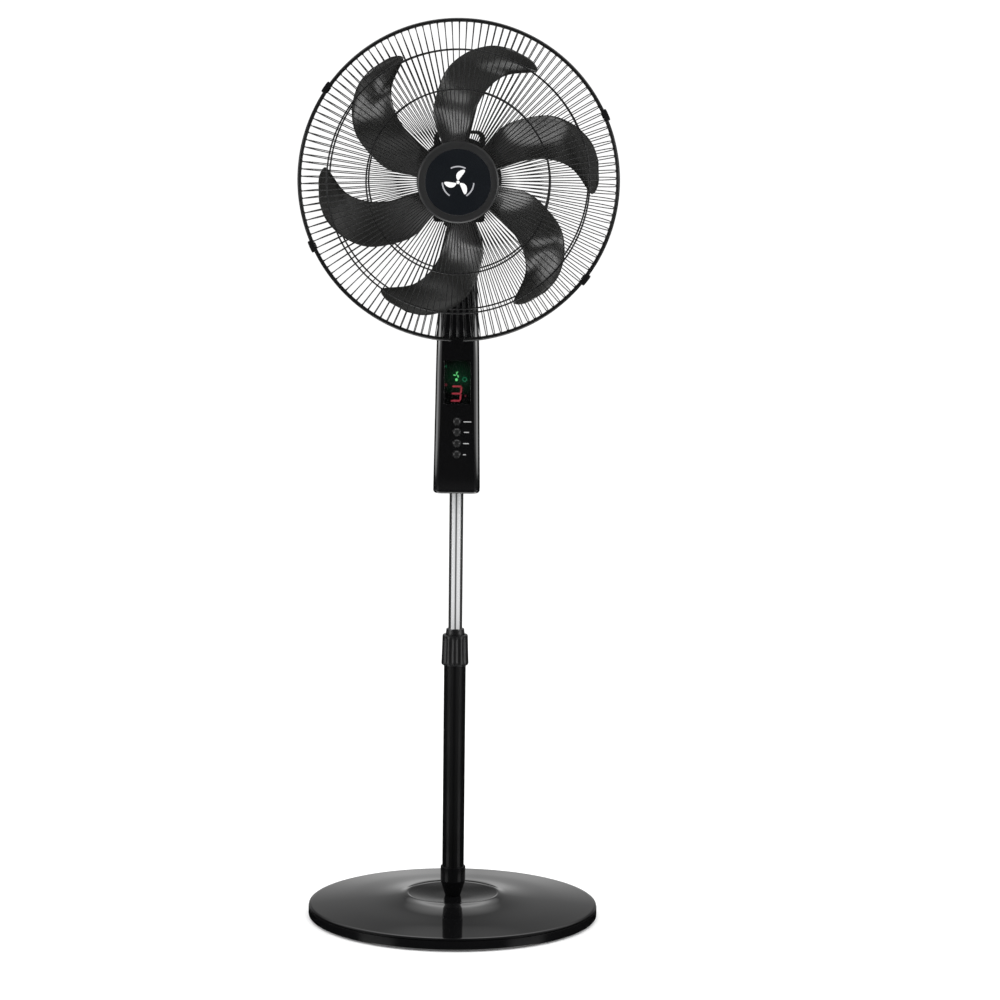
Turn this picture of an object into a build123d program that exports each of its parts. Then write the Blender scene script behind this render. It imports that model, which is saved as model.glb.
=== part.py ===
from build123d import *
import os
from math import atan2, cos, degrees, hypot, radians, sin

# Pedestal fan, millimetres. +Z is up, the fan blows towards -Y, and the origin is on the
# floor under the middle of the round base.

# ---------------------------------------------------------------- driving dimensions
# Foot
BASE_R = 200.0          # outer radius of the round base
SKIRT_TOP = 14.5        # height of the skirt under the groove
DOME_EDGE = 18.2        # height where the dome starts at the rim
CREST_R, CREST_Z = 63.5, 32.3   # edge of the shallow bowl in the middle
BOWL_Z = 28.2           # bottom of the bowl, where the pole foot stands
SHELL_T = 2.4
FOOT_COUNT = 5
FOOT_H = 1.5            # rubber feet under the bottom plate
FOOT_PITCH_R = 170.0
SCREW_PITCH_R = 178.0

# Poles
OUTER_R, OUTER_BORE = 15.0, 13.5
OUTER_BOTTOM, OUTER_TOP = 52.0, 389.5
INNER_R, INNER_BORE = 9.5, 8.2
INNER_BOTTOM, INNER_TOP = 243.0, 868.0
NUT_BOTTOM, NUT_TOP = 353.2, 395.4
NUT_R = 18.3

# Control column: half widths at heights, seen from the front
COLUMN_BOTTOM, COLUMN_TOP = 593.0, 918.0
COLUMN_FRONT, COLUMN_BACK = -22.0, 26.0
COLUMN_WALL = 2.5
HALF_BOTTOM, HALF_MIDDLE, HALF_TOP = 31.8, 29.2, 22.5
MIDDLE_Z = 770.0
CORNER_R = 8.0
SPLIT_Y = 2.0           # plane where the front and the rear cover meet
CORD_Z = 612.0          # height of the cord inlet

# Controls on the front of the column
BUTTON_Z = (692.3, 678.0, 662.6, 647.4)
BUTTON_NAMES = ("power_button", "speed_button", "swing_button", "timer_button")
BUTTON_R = 5.5
LENS_X, LENS_Z0, LENS_Z1 = 18.0, 716.0, 776.0
DIGIT_X, DIGIT_Z = -1.5, 730.0
DIGIT_W, DIGIT_H, SEGMENT_W = 15.0, 22.0, 2.4
LED_SPOTS = ((0.0, 755.3), (0.5, 748.5), (9.5, 749.6), (-15.0, 766.0), (-15.0, 742.0), (14.0, 724.0))
BOARD_FRONT = -14.5

# Tilt and swing
TILT_Z = 925.0
TILT_PIN_R = 4.0
NECK_HALF = 8.7
FLANGE_Z0, FLANGE_Z1, FLANGE_R = 941.0, 949.0, 19.0
SPINDLE_R = 6.0
LINK_PIN_X = 15.0       # pin on the neck that the link turns on
CRANK_Y = 36.0          # axis of the crank behind the spindle
SWING_HALF_ANGLE = 40.0
CRANK_R = LINK_PIN_X * sin(radians(SWING_HALF_ANGLE))
LINK_SLACK = 3.05       # half the sideways play that the open end of the link needs

# Head. Its parts are drawn in a frame of their own: x right, y up, z towards the front.
HEAD_Z = 1020.0
WIRE_COUNT = 134
WIRE_R = 0.65
FRONT_WIRE = ((47.0, 137.5), (208.5, 129.0), (208.5, 87.6))
REAR_WIRE = ((51.0, 43.9), (208.5, 50.0), (208.5, 86.0))
FRONT_PHASE = 1.40      # degrees from +X to the first front wire, seen from the front
REAR_PHASE = 1.75       # the same for the first rear wire
WIRE_BEND = 30.0
SUPPORT_RINGS = (121.0, 173.0)
SUPPORT_RING_R = 1.1
FRONT_RIM_R, FRONT_RIM_T, FRONT_RIM_Z = 211.2, 2.2, 89.6
REAR_RIM_R, REAR_RIM_T, REAR_RIM_Z = 211.6, 2.6, 83.6
WELD = 0.15             # how far welded wires sink into each other
CAP_R, CAP_DISC_R = 54.0, 43.4
CAP_FRONT, CAP_BACK = 142.5, 138.7
HUB_R, HUB_FRONT, HUB_BACK = 45.0, 116.0, 64.0
BLADE_COUNT = 6
SHAFT_R = 4.0
SHAFT_CLEAR = 0.05
MOTOR_R = 42.0
COVER_R = 50.0
COVER_SCREW_R = 1.5
CHIN_HALF, CHIN_BOTTOM = 20.0, -64.0
SHOULDER_HALF, SHOULDER_BOTTOM = 34.5, -57.5
CLIP_ANGLES = {"upper_right_clip": 64.9, "lower_right_clip": 125.9,
               "lower_left_clip": 244.1, "upper_left_clip": 304.3}

# Blade outline for the blade at 12 o'clock: trailing and leading edge at each station, as
# radius and angle clockwise from the top, then axial depth, camber and thickness.
BLADE_STATIONS = (
    (43.8, -25.0, 43.8, 14.5, 29.0, 1.5, 2.8),
    (59.7, -23.8, 59.7, 13.5, 31.0, 3.0, 2.6),
    (92.1, -21.5, 92.1, 12.9, 34.0, 4.5, 2.4),
    (122.4, -13.5, 122.4, 16.3, 33.0, 5.0, 2.2),
    (149.2, -6.0, 149.2, 22.7, 30.0, 4.6, 2.1),
    (168.3, 2.6, 168.3, 31.9, 24.0, 3.6, 2.0),
    (179.0, 9.6, 176.5, 35.0, 18.0, 2.4, 1.9),
    (184.3, 14.5, 181.8, 34.2, 14.0, 1.5, 1.8),
    (186.3, 19.0, 185.6, 31.0, 10.0, 0.8, 1.7),
)
BLADE_Z = 89.0          # middle of the blades along the head's axis


# ---------------------------------------------------------------- helpers
def save(name, shape):
    export_step(shape, os.path.join("parts", name + ".step"))


def group(solids):
    """Several separate solids as one node."""
    return Compound(children=list(solids))


def turned(*points):
    """Solid of revolution about the upright axis, from (radius, height) corners."""
    face = make_face(Polyline(*[(r, 0, z) for r, z in points], close=True))
    return revolve(face, Axis.Z)


def tube(outer, inner, low, high):
    return turned((inner, low), (outer, low), (outer, high), (inner, high))


def rod(radius, low, high):
    return Pos(0, 0, low) * Cylinder(radius, high - low, align=(Align.CENTER, Align.CENTER, Align.MIN))


def block(low, high):
    size = [b - a for a, b in zip(low, high)]
    return Pos(*low) * Box(*size, align=(Align.MIN, Align.MIN, Align.MIN))


def along_y(shape, x, y, z):
    """A piece drawn along +Z, laid down to point along +Y from (x, y, z)."""
    return Pos(x, y, z) * Rot(-90, 0, 0) * shape


def in_head(shape):
    """From the head's own frame to the fan's."""
    return Pos(0, 0, HEAD_Z) * Rot(90, 0, 0) * shape


def spokes(piece, count, phase=0.0):
    return [Rot(0, 0, phase + 360.0 * k / count) * piece for k in range(count)]


def clock(radius, angle):
    """Point at an angle clockwise from 12 o'clock, seen from the front."""
    return radius * sin(radians(angle)), radius * cos(radians(angle))


# ---------------------------------------------------------------- foot
def base_cover():
    rim = 197.5
    outer = Polyline((BASE_R - 1.2, 0, 2.0), (BASE_R, 0, 3.6), (BASE_R, 0, SKIRT_TOP - 0.8),
                     (BASE_R - 0.8, 0, SKIRT_TOP), (rim, 0, SKIRT_TOP), (rim, 0, SKIRT_TOP + 1.6),
                     (BASE_R - 0.8, 0, SKIRT_TOP + 2.0))
    edge = ThreePointArc((BASE_R - 0.8, 0, SKIRT_TOP + 2.0), (BASE_R - 1.3, 0, 17.4),
                         (196.9, 0, DOME_EDGE))
    dome = Spline((196.9, 0, DOME_EDGE), (150, 0, 22.4), (105, 0, 25.8),
                  (CREST_R + 2.5, 0, CREST_Z - 0.4), tangents=((-1, 0, 0.10), (-1, 0, 0.28)))
    crest = ThreePointArc((CREST_R + 2.5, 0, CREST_Z - 0.4), (CREST_R, 0, CREST_Z),
                          (CREST_R - 2.2, 0, CREST_Z - 0.5))
    bowl = Spline((CREST_R - 2.2, 0, CREST_Z - 0.5), (38, 0, 29.1), (17, 0, BOWL_Z),
                  tangents=((-1, 0, -0.3), (-1, 0, 0)))
    inside = Polyline((17, 0, BOWL_Z), (8.1, 0, BOWL_Z), (8.1, 0, 11.0), (16, 0, 11.0),
                      (16, 0, BOWL_Z - SHELL_T), (60, 0, CREST_Z - 4.6), (66, 0, CREST_Z - 3.4),
                      (105, 0, 23.3), (150, 0, 19.9), (193.5, 0, 15.5), (194.4, 0, 13.0),
                      (BASE_R - 2.6, 0, 12.0), (BASE_R - 2.6, 0, 2.0), (BASE_R - 1.2, 0, 2.0))
    shell = revolve(make_face(outer + edge + dome + crest + bowl + inside), Axis.Z)
    boss = tube(4.0, 1.62, 3.6, 17.5)
    for x, y in screw_spots():
        shell += Pos(x, y, 0) * boss
    return shell


def screw_spots():
    """Places of the five bottom screws, half way between the feet."""
    step = 360.0 / FOOT_COUNT
    return [(SCREW_PITCH_R * cos(radians(k * step + 90)), SCREW_PITCH_R * sin(radians(k * step + 90)))
            for k in range(FOOT_COUNT)]


def foot_spots():
    """Places of the five rubber feet, the first one at the front."""
    step = 360.0 / FOOT_COUNT
    return [(FOOT_PITCH_R * cos(radians(k * step - 90)), FOOT_PITCH_R * sin(radians(k * step - 90)))
            for k in range(FOOT_COUNT)]


def base_weight():
    return tube(150.0, 26.0, 5.0, 10.2)


def base_bottom_plate():
    plate = tube(BASE_R - 2.9, 16.0, FOOT_H, 3.5)
    for x, y in screw_spots():
        plate -= Pos(x, y, 0) * rod(1.8, 0, 5)
    return plate


def base_feet():
    pad = fillet(rod(9.0, 0, FOOT_H).edges().group_by(Axis.Z)[0], 0.5)
    return group(Pos(x, y, 0) * pad for x, y in foot_spots())


def base_screws():
    screw = rod(3.4, 0.5, FOOT_H) + rod(1.6, FOOT_H, 13.0)
    return group(Pos(x, y, 0) * screw for x, y in screw_spots())


def pole_foot():
    return turned((4.1, 14), (8.0, 14), (8.0, BOWL_Z), (10.2, BOWL_Z), (17.25, 49), (17.25, 69.2),
                  (16.5, 70), (15.05, 70), (15.05, OUTER_BOTTOM), (13.45, OUTER_BOTTOM), (13.45, 60),
                  (0, 60), (0, 46), (4.1, 46))


def pole_bolt():
    head = Pos(0, 0, 4.2) * extrude(RegularPolygon(6.6, 6), 5.0)
    return head + rod(13.5, 9.2, 10.9) + rod(4.0, 10.9, 44.0)


def outer_tube():
    return tube(OUTER_R, OUTER_BORE, OUTER_BOTTOM, OUTER_TOP)


def tube_collet():
    """Clamping bush: a sleeve in the tube's mouth, a flange on it and the cone over it."""
    low, high = OUTER_TOP - 42, OUTER_TOP + 14
    return turned((9.55, low), (13.45, low), (13.45, OUTER_TOP), (14.8, OUTER_TOP),
                  (14.8, OUTER_TOP + 2.5), (12.9, OUTER_TOP + 2.5), (12.9, high - 6), (12.2, high),
                  (9.55, high))


def height_nut():
    body = turned((15.1, NUT_BOTTOM), (NUT_R - 0.8, NUT_BOTTOM), (NUT_R, NUT_BOTTOM + 1.2),
                  (NUT_R + 0.2, NUT_BOTTOM + 3), (NUT_R - 0.7, NUT_TOP - 1), (NUT_R - 1.6, NUT_TOP),
                  (13.3, NUT_TOP), (13.3, OUTER_TOP + 3.2), (15.1, OUTER_TOP + 3.2))
    flute = Pos(NUT_R + 1.6, 0, NUT_BOTTOM + 4) * rod(2.4, 0, 36)
    for cut in spokes(flute, 12):
        body -= cut
    return body


# ---------------------------------------------------------------- sliding column
def inner_tube():
    return tube(INNER_R, INNER_BORE, INNER_BOTTOM, INNER_TOP)


def inner_tube_glide():
    return tube(13.4, INNER_R + 0.02, 243.5, 262)


def tube_clamp():
    clamp = block((-24, -13, 598), (24, 16, 626)) - rod(INNER_R + 0.02, 590, 640)
    slot = block((9, -0.8, 590), (30, 0.8, 640))
    return clamp - slot


def column_outline(inset):
    """Front view of the housing, inset all round: straight below, then one slow arc."""
    low, top = COLUMN_BOTTOM + inset, COLUMN_TOP - inset
    a, b, c = HALF_BOTTOM - inset, HALF_MIDDLE - inset, HALF_TOP - inset
    rise = (b - a, 0, MIDDLE_Z - COLUMN_BOTTOM)
    right = Line((a, 0, low), (b, 0, MIDDLE_Z)) + TangentArc((b, 0, MIDDLE_Z), (c, 0, top), tangent=rise)
    low_edge = Line((-a, 0, low), (a, 0, low))
    top_edge = Line((c, 0, top), (-c, 0, top))
    return make_face(low_edge + right + top_edge + mirror(right, Plane.YZ))


def column_body(inset, corner):
    depth = COLUMN_BACK - COLUMN_FRONT - 2 * inset
    face = Pos(0, COLUMN_BACK - inset, 0) * column_outline(inset)
    body = extrude(face, amount=depth, dir=(0, -1, 0))
    upright = [e for e in body.edges() if e.bounding_box().size.Z > 100]
    return fillet(upright, corner)


def column_shell():
    shell = column_body(0.0, CORNER_R) - column_body(COLUMN_WALL, CORNER_R - COLUMN_WALL)
    shell -= block((-15, -16, COLUMN_TOP - 5), (15, 20, COLUMN_TOP + 5))
    shell -= rod(INNER_R + 0.3, COLUMN_BOTTOM - 5, COLUMN_BOTTOM + 5)
    return shell


def boss_spots():
    return [(-22.0, 642.0), (22.0, 642.0), (-18.0, 806.0), (18.0, 806.0)]


def column_front_cover(shell):
    front = shell & block((-50, -50, 500), (50, SPLIT_Y, 1000))
    boss = rod(3.6, 0, SPLIT_Y - COLUMN_FRONT - 1.5) - rod(1.62, 6, 40)
    for x, z in boss_spots():
        front += along_y(boss, x, COLUMN_FRONT + 1.5, z)
    for z in BUTTON_Z:
        front -= along_y(rod(BUTTON_R + 0.1, 0, 6), 0, COLUMN_FRONT - 1, z)
    gap = 0.05
    front -= block((-LENS_X - gap, COLUMN_FRONT - 1, LENS_Z0 - gap), (LENS_X + gap, -18, LENS_Z1 + gap))
    return front


def column_rear_cover(shell):
    rear = shell & block((-50, SPLIT_Y, 500), (50, 50, 1000))
    boss = rod(4.4, 0, COLUMN_BACK - SPLIT_Y - 1.5)
    for x, z in boss_spots():
        rear += along_y(boss, x, SPLIT_Y, z)
        rear -= along_y(rod(1.8, -1, 40), x, SPLIT_Y, z)
        rear -= along_y(rod(3.3, 0, 40), x, 8.0, z)
    rear -= along_y(rod(6.0, 0, 10), 0, COLUMN_BACK - 6, CORD_Z)
    return rear


def column_screws():
    screw = rod(3.0, 0, 2.4) + rod(1.6, -14, 0)
    return group(along_y(screw, x, 8.0, z) for x, z in boss_spots())


def cord_inlet():
    """Rubber grommet in the rear cover that the mains cord would come through."""
    sleeve = turned((3.5, -1.5), (8.0, -1.5), (8.0, 0), (5.95, 0), (5.95, 2.5), (8.0, 2.5), (8.0, 4.0),
                    (6.6, 5.5), (5.0, 7.5), (3.5, 7.5))
    return along_y(sleeve, 0, COLUMN_BACK - COLUMN_WALL, CORD_Z)


def control_board():
    return block((-17, BOARD_FRONT, 638), (17, BOARD_FRONT + 1.6, 782))


def button_switches():
    switch = block((-3, -16.5, -3), (3, BOARD_FRONT, 3)) + along_y(rod(1.6, 0, 0.6), 0, -17.1, 0)
    return group(Pos(0, 0, z) * switch for z in BUTTON_Z)


def push_button(z):
    cap = rod(BUTTON_R, 0, 4.8)
    cap = fillet(cap.edges().group_by(Axis.Z)[0], 0.7)
    flange = rod(BUTTON_R + 1.0, 3.4, 4.8)
    return along_y(cap + flange, 0, COLUMN_FRONT - 0.8, z)


def display_lens():
    return block((-LENS_X, COLUMN_FRONT, LENS_Z0), (LENS_X, COLUMN_FRONT + 2.2, LENS_Z1))


def digit_segments():
    """The seven bars of the digit as boxes, in the order top, middle, bottom, then the sides."""
    w, h, t = DIGIT_W / 2, DIGIT_H / 2, SEGMENT_W
    bars = [((-w + t, z - t / 2), (w - t, z + t / 2)) for z in (h - t / 2, 0, -h + t / 2)]
    for x0 in (-w, w - t):
        bars += [((x0, 0.8), (x0 + t, h - 0.8)), ((x0, -h + 0.8), (x0 + t, -0.8))]
    return bars


def display_digit():
    face = -19.4
    body = block((DIGIT_X - 10, face + 0.4, DIGIT_Z - 13.5), (DIGIT_X + 10, BOARD_FRONT, DIGIT_Z + 13.5))
    for (x0, z0), (x1, z1) in digit_segments():
        body += block((DIGIT_X + x0, face, DIGIT_Z + z0), (DIGIT_X + x1, face + 1, DIGIT_Z + z1))
    return body


def indicator_leds():
    led = along_y(rod(1.4, 0, 4.6), 0, -19.1, 0)
    return group(Pos(x, 0, z) * led for x, z in LED_SPOTS)


def ir_receiver():
    return block((6.5, -19.0, 762), (13.5, BOARD_FRONT, 769)) + along_y(rod(2.4, 0, 1), 10, -19.6, 765.5)


def tilt_bracket():
    body = block((-14, -13, 836), (14, 13, 880)) - rod(INNER_R + 0.02, 830, INNER_TOP)
    inner = NECK_HALF + 0.3
    ear = block((inner, -10, 878), (13.5, 10, TILT_Z))
    ear += Pos(inner, 0, TILT_Z) * Rot(0, 90, 0) * rod(10, 0, 13.5 - inner)
    body += ear + mirror(ear, Plane.YZ)
    bore = Pos(-20, 0, TILT_Z) * Rot(0, 90, 0) * rod(TILT_PIN_R + 0.02, 0, 40)
    return body - bore


def tilt_pin():
    pin = rod(TILT_PIN_R, -14.4, 14.0) + rod(6.0, -17.4, -14.4) + rod(5.4, 14.0, 17.0)
    return Pos(0, 0, TILT_Z) * Rot(0, 90, 0) * pin


# ---------------------------------------------------------------- neck and swing drive
def neck():
    stem = Pos(-NECK_HALF, 0, TILT_Z) * Rot(0, 90, 0) * rod(9.5, 0, 2 * NECK_HALF)
    stem += block((-NECK_HALF, -9.5, TILT_Z), (NECK_HALF, 9.5, FLANGE_Z0 + 1))
    body = stem + tube(FLANGE_R, 0.0, FLANGE_Z0, FLANGE_Z1)
    body -= Pos(-20, 0, TILT_Z) * Rot(0, 90, 0) * rod(TILT_PIN_R + 0.05, 0, 40)
    body -= rod(SPINDLE_R + 0.02, 934, 960)
    return body + Pos(LINK_PIN_X, 0, 0) * rod(1.8, FLANGE_Z1 - 1, 953.4)


def swing_spindle():
    return rod(SPINDLE_R, 934.2, 949.2) + rod(5.0, 949.2, 958.6) + rod(SPINDLE_R, 958.6, 977.0)


def swing_motor():
    can = rod(17.0, 959.0, 973.0) + rod(3.0, 955.4, 959.0)
    return Pos(0, CRANK_Y, 0) * can


def swing_crank():
    """Crank under the swing motor with its pin, at mid swing."""
    plate = rod(CRANK_R + 3.0, 952.4, 955.3) + Pos(CRANK_R, 0, 0) * rod(1.8, 949.7, 952.6)
    return Pos(0, CRANK_Y, 0) * plate


def swing_link():
    """Flat link from the neck's pin to the crank pin, whose hole leaves the open pivot its play."""
    end_x = CRANK_R - LINK_SLACK
    low, high = 949.9, 952.1
    length = hypot(end_x - LINK_PIN_X, CRANK_Y)
    angle = degrees(atan2(CRANK_Y, end_x - LINK_PIN_X))
    bar = Pos(LINK_PIN_X, 0, 0) * Rot(0, 0, angle) * block((0, -3.0, low), (length, 3.0, high))
    link = bar + Pos(LINK_PIN_X, 0, 0) * rod(4.2, low, high) + Pos(end_x, CRANK_Y, 0) * rod(7.6, low, high)
    link -= Pos(LINK_PIN_X, 0, 0) * rod(1.85, 940, 960)
    return link - Pos(end_x, CRANK_Y, 0) * rod(5.4, 940, 960)


# ---------------------------------------------------------------- motor
def motor_front_plate():
    plate = turned((9.0, 36.0), (48.0, 36.0), (48.0, 41.8), (18.0, 41.8), (18.0, 54.0), (9.0, 54.0))
    for x, y in cover_spots():
        plate -= Pos(x, y, 0) * rod(COVER_SCREW_R + 0.05, 35, 43)
    cup = turned((MOTOR_R - 2.5, 1.0), (MOTOR_R, 1.0), (MOTOR_R, 36.0), (MOTOR_R - 2.5, 36.0))
    return in_head(plate + cup)


def motor_rear_shield():
    """Die-cast rear shield, with the foot that holds the swing spindle."""
    cup = turned((9.0, -47.0), (MOTOR_R, -47.0), (MOTOR_R, 0.7), (MOTOR_R - 2.5, 0.7),
                 (MOTOR_R - 2.5, -44.5), (9.0, -44.5))
    shield = in_head(cup)
    foot = block((-14, 1.0, 958.9), (14, 14, 986)) + block((-14, -14, 958.9), (14, 1.2, 977.6))
    foot -= Pos(0, 0, HEAD_Z) * Rot(90, 0, 0) * rod(MOTOR_R - 1, -50, 50)
    return shield + foot - rod(SPINDLE_R + 0.05, 950, 977.5)


def stator_core():
    core = tube(MOTOR_R - 2.6, 22.6, -19.0, 19.0)
    slot = block((25.0, -2.4, -20), (35.0, 2.4, 20))
    for cut in spokes(slot, 12):
        core -= cut
    return in_head(core)


def stator_windings():
    """Coil heads on both faces of the stator, joined by the coil sides in its slots."""
    heads = tube(35.0, 25.4, 19.2, 32.0) + tube(35.0, 25.4, -32.0, -19.2)
    side = block((25.6, -2.1, -20), (34.6, 2.1, 20))
    for piece in spokes(side, 12):
        heads += piece
    return in_head(heads)


def motor_bearings():
    bush = tube(8.98, SHAFT_R + SHAFT_CLEAR, -6.0, 6.0)
    return group([in_head(Pos(0, 0, 46.0) * bush), in_head(Pos(0, 0, -46.0) * bush)])


def motor_cover():
    inner_curve = ((47.5, -34), (46.6, -48), (43, -61.5), (34.5, -71.3), (21.5, -76.2), (0, -77.2))
    body = turned((0, -80), (22, -79), (36, -74), (45, -64), (49, -50), (COVER_R, -36), (COVER_R, 35.8),
                  (48.2, 35.8), (47.5, 30), *inner_curve)
    chin = block((-CHIN_HALF, CHIN_BOTTOM, -62), (CHIN_HALF, -30, 24))
    chin = fillet(chin.edges().filter_by(Axis.Z).group_by(Axis.Y)[0], 5.0)
    hollow = block((-CHIN_HALF + 2.5, CHIN_BOTTOM + 2.5, -59.5), (CHIN_HALF - 2.5, -28, 21.5))
    inside = turned(*inner_curve, (0, 40), (47.5, 40))
    shoulder = block((-SHOULDER_HALF, SHOULDER_BOTTOM, -12), (SHOULDER_HALF, -30, 24))
    shoulder = fillet(shoulder.edges().filter_by(Axis.Z).group_by(Axis.Y)[0], 4.0)
    body = (body + (chin - inside) + (shoulder - inside)) - hollow
    up = Rot(-90, 0, 0) * rod(9.0, -80, -40)
    crank_hole = Pos(0, 0, -CRANK_Y) * Rot(-90, 0, 0) * rod(5.0, -80, -56)
    body = body - up - crank_hole
    for k in range(5):
        vent = block((-18, -30 + 12 * k, -90), (18, -26 + 12 * k, -60))
        body -= vent
    return in_head(body)


def cover_spots():
    """Three screws that hold the motor cover to the front plate."""
    return [clock(45.0, a) for a in (60.0, 180.0, 300.0)]


def cover_screws():
    screw = rod(2.8, 41.8, 43.3) + rod(COVER_SCREW_R, 37.0, 41.8)
    return in_head(group(Pos(x, y, 0) * screw for x, y in cover_spots()))


def carry_handle():
    """Arch over the top of the motor, just behind the rear grille."""
    arch = block((-34.5, 30, 18), (34.5, 65.5, 34))
    arch = fillet(arch.edges().filter_by(Axis.Z).group_by(Axis.Y)[-1], 11.0)
    window = block((-27, 20, 10), (27, 61, 40))
    window = fillet(window.edges().filter_by(Axis.Z).group_by(Axis.Y)[-1], 5.0)
    return in_head(arch - window - rod(COVER_R + 0.05, 0, 60))


def rotor_core():
    return in_head(tube(22.0, SHAFT_R, -19.0, 19.0))


def motor_shaft():
    return in_head(rod(SHAFT_R, -60.0, 127.0))


# ---------------------------------------------------------------- impeller
def blade_section(station):
    """Curved strip across the blade: trailing edge forward, leading edge to the rear."""
    trail_r, trail_a, lead_r, lead_a, depth, camber, thick = station
    trail = Vector(*clock(trail_r, trail_a), BLADE_Z)
    lead = Vector(*clock(lead_r, lead_a), BLADE_Z)
    across = (lead - trail).normalized()
    half = (lead - trail).length / 2
    front = Vector(0, 0, 1)
    plane = Plane(origin=(trail + lead) / 2, x_dir=across, z_dir=across.cross(front))
    rise, t = depth / 2, thick / 2
    top = ThreePointArc((-half, rise + t), (0, -camber + t), (half, -rise + t))
    bottom = ThreePointArc((half, -rise - t), (0, -camber - t), (-half, rise - t))
    lead_edge = Line((half, -rise + t), (half, -rise - t))
    trail_edge = Line((-half, rise - t), (-half, rise + t))
    return plane * make_face(top + lead_edge + bottom + trail_edge)


def impeller():
    """Hub cup with its boss on the shaft, and the blades moulded on it."""
    hub = turned((HUB_R - 4.5, HUB_BACK), (HUB_R, HUB_BACK), (HUB_R, HUB_FRONT - 6),
                 (HUB_R - 2, HUB_FRONT - 2), (HUB_R - 6, HUB_FRONT), (SHAFT_R + 0.02, HUB_FRONT),
                 (SHAFT_R + 0.02, 84), (10.5, 84), (10.5, HUB_FRONT - 4), (HUB_R - 4.5, HUB_FRONT - 4))
    blade = loft([blade_section(s) for s in BLADE_STATIONS])
    for piece in spokes(blade, BLADE_COUNT):
        hub += piece
    return in_head(hub)


def blade_nut():
    """Cap nut that holds the impeller on the shaft."""
    nut = turned((SHAFT_R + 0.02, 116.1), (14.0, 116.1), (14.0, 118.5), (11.0, 129.0), (8.0, 130.5),
                 (0, 130.5), (0, 127.1), (SHAFT_R + 0.02, 127.1))
    rib = block((10.4, -1.2, 117.5), (14.6, 1.2, 126))
    for piece in spokes(rib, 8):
        nut += piece
    return in_head(nut)


# ---------------------------------------------------------------- grilles
def wire_pieces(corners):
    """One wire: the straight run over the face, and the bend down to the rim."""
    (r0, z0), (r1, z1), (r2, z2) = corners
    path = FilletPolyline((r0, 0, z0), (r1, 0, z1), (r2, 0, z2), radius=WIRE_BEND)
    run, bend, tail = path.edges()
    straight = sweep(Plane(origin=run @ 0, z_dir=run % 0) * Circle(WIRE_R), path=run)
    curved = sweep(Plane(origin=bend @ 0, z_dir=bend % 0) * Circle(WIRE_R), path=Wire([bend, tail]))
    return [straight, curved]


def wires(corners, phase):
    pieces = wire_pieces(corners)
    return in_head(group(copy for piece in pieces for copy in spokes(piece, WIRE_COUNT, phase)))


def wire_height(corners, radius):
    """Height of a wire's centre line over its straight run."""
    (r0, z0), (r1, z1) = corners[:2]
    return z0 + (z1 - z0) * (radius - r0) / (r1 - r0)


def ring(radius, thickness, height):
    return Pos(0, 0, height) * Torus(radius, thickness)


def front_rings():
    offset = WIRE_R + SUPPORT_RING_R - WELD
    rings = [ring(r, SUPPORT_RING_R, wire_height(FRONT_WIRE, r) - offset) for r in SUPPORT_RINGS]
    rings.append(ring(50.0, 1.5, wire_height(FRONT_WIRE, 50.0) - WIRE_R - 1.5 + WELD))
    rings.append(ring(FRONT_RIM_R, FRONT_RIM_T, FRONT_RIM_Z))
    return in_head(group(rings))


def rear_rings():
    offset = WIRE_R + SUPPORT_RING_R - WELD
    rings = [ring(r, SUPPORT_RING_R, wire_height(REAR_WIRE, r) + offset) for r in SUPPORT_RINGS]
    rings.append(ring(REAR_RIM_R, REAR_RIM_T, REAR_RIM_Z))
    return in_head(group(rings))


def rear_mounting_plate():
    plate = tube(57.0, 18.1, 41.9, 43.4)
    for x, y in cover_spots():
        plate -= Pos(x, y, 0) * rod(3.4, 40, 50)
    return in_head(plate)


def grille_nut():
    nut = tube(30.0, 18.1, 44.0, 51.0)
    grip = block((29.0, -2.5, 44.0), (33.5, 2.5, 51.0))
    for piece in spokes(grip, 8):
        nut += piece
    return in_head(nut)


def centre_cap():
    """Cap over the inner ends of the front wires: a ring-shaped face with a recess for the disc."""
    cap = turned((40.0, 128.0), (44.0, 128.0), (44.0, CAP_BACK), (CAP_R - 0.6, CAP_BACK),
                 (CAP_R, CAP_BACK + 0.8), (CAP_R, CAP_FRONT - 1.6), (CAP_R - 1.6, CAP_FRONT),
                 (CAP_DISC_R + 0.1, CAP_FRONT),
                 (CAP_DISC_R + 0.1, CAP_FRONT - 1.8), (0, CAP_FRONT - 1.8), (0, CAP_BACK), (40.0, CAP_BACK))
    return in_head(cap)


def cap_disc():
    back, front = CAP_FRONT - 1.7, CAP_FRONT - 0.2
    return in_head(turned((0, back), (CAP_DISC_R, back), (CAP_DISC_R, front - 0.3),
                          (CAP_DISC_R - 0.3, front), (0, front)))


def between_wires(angle):
    """The nearest angle clockwise from 12 o'clock that lies midway between two rear wires."""
    gap = 360.0 / WIRE_COUNT
    steps = round((90.0 - angle - REAR_PHASE) / gap - 0.5) + 0.5
    return 90.0 - REAR_PHASE - steps * gap


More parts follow.
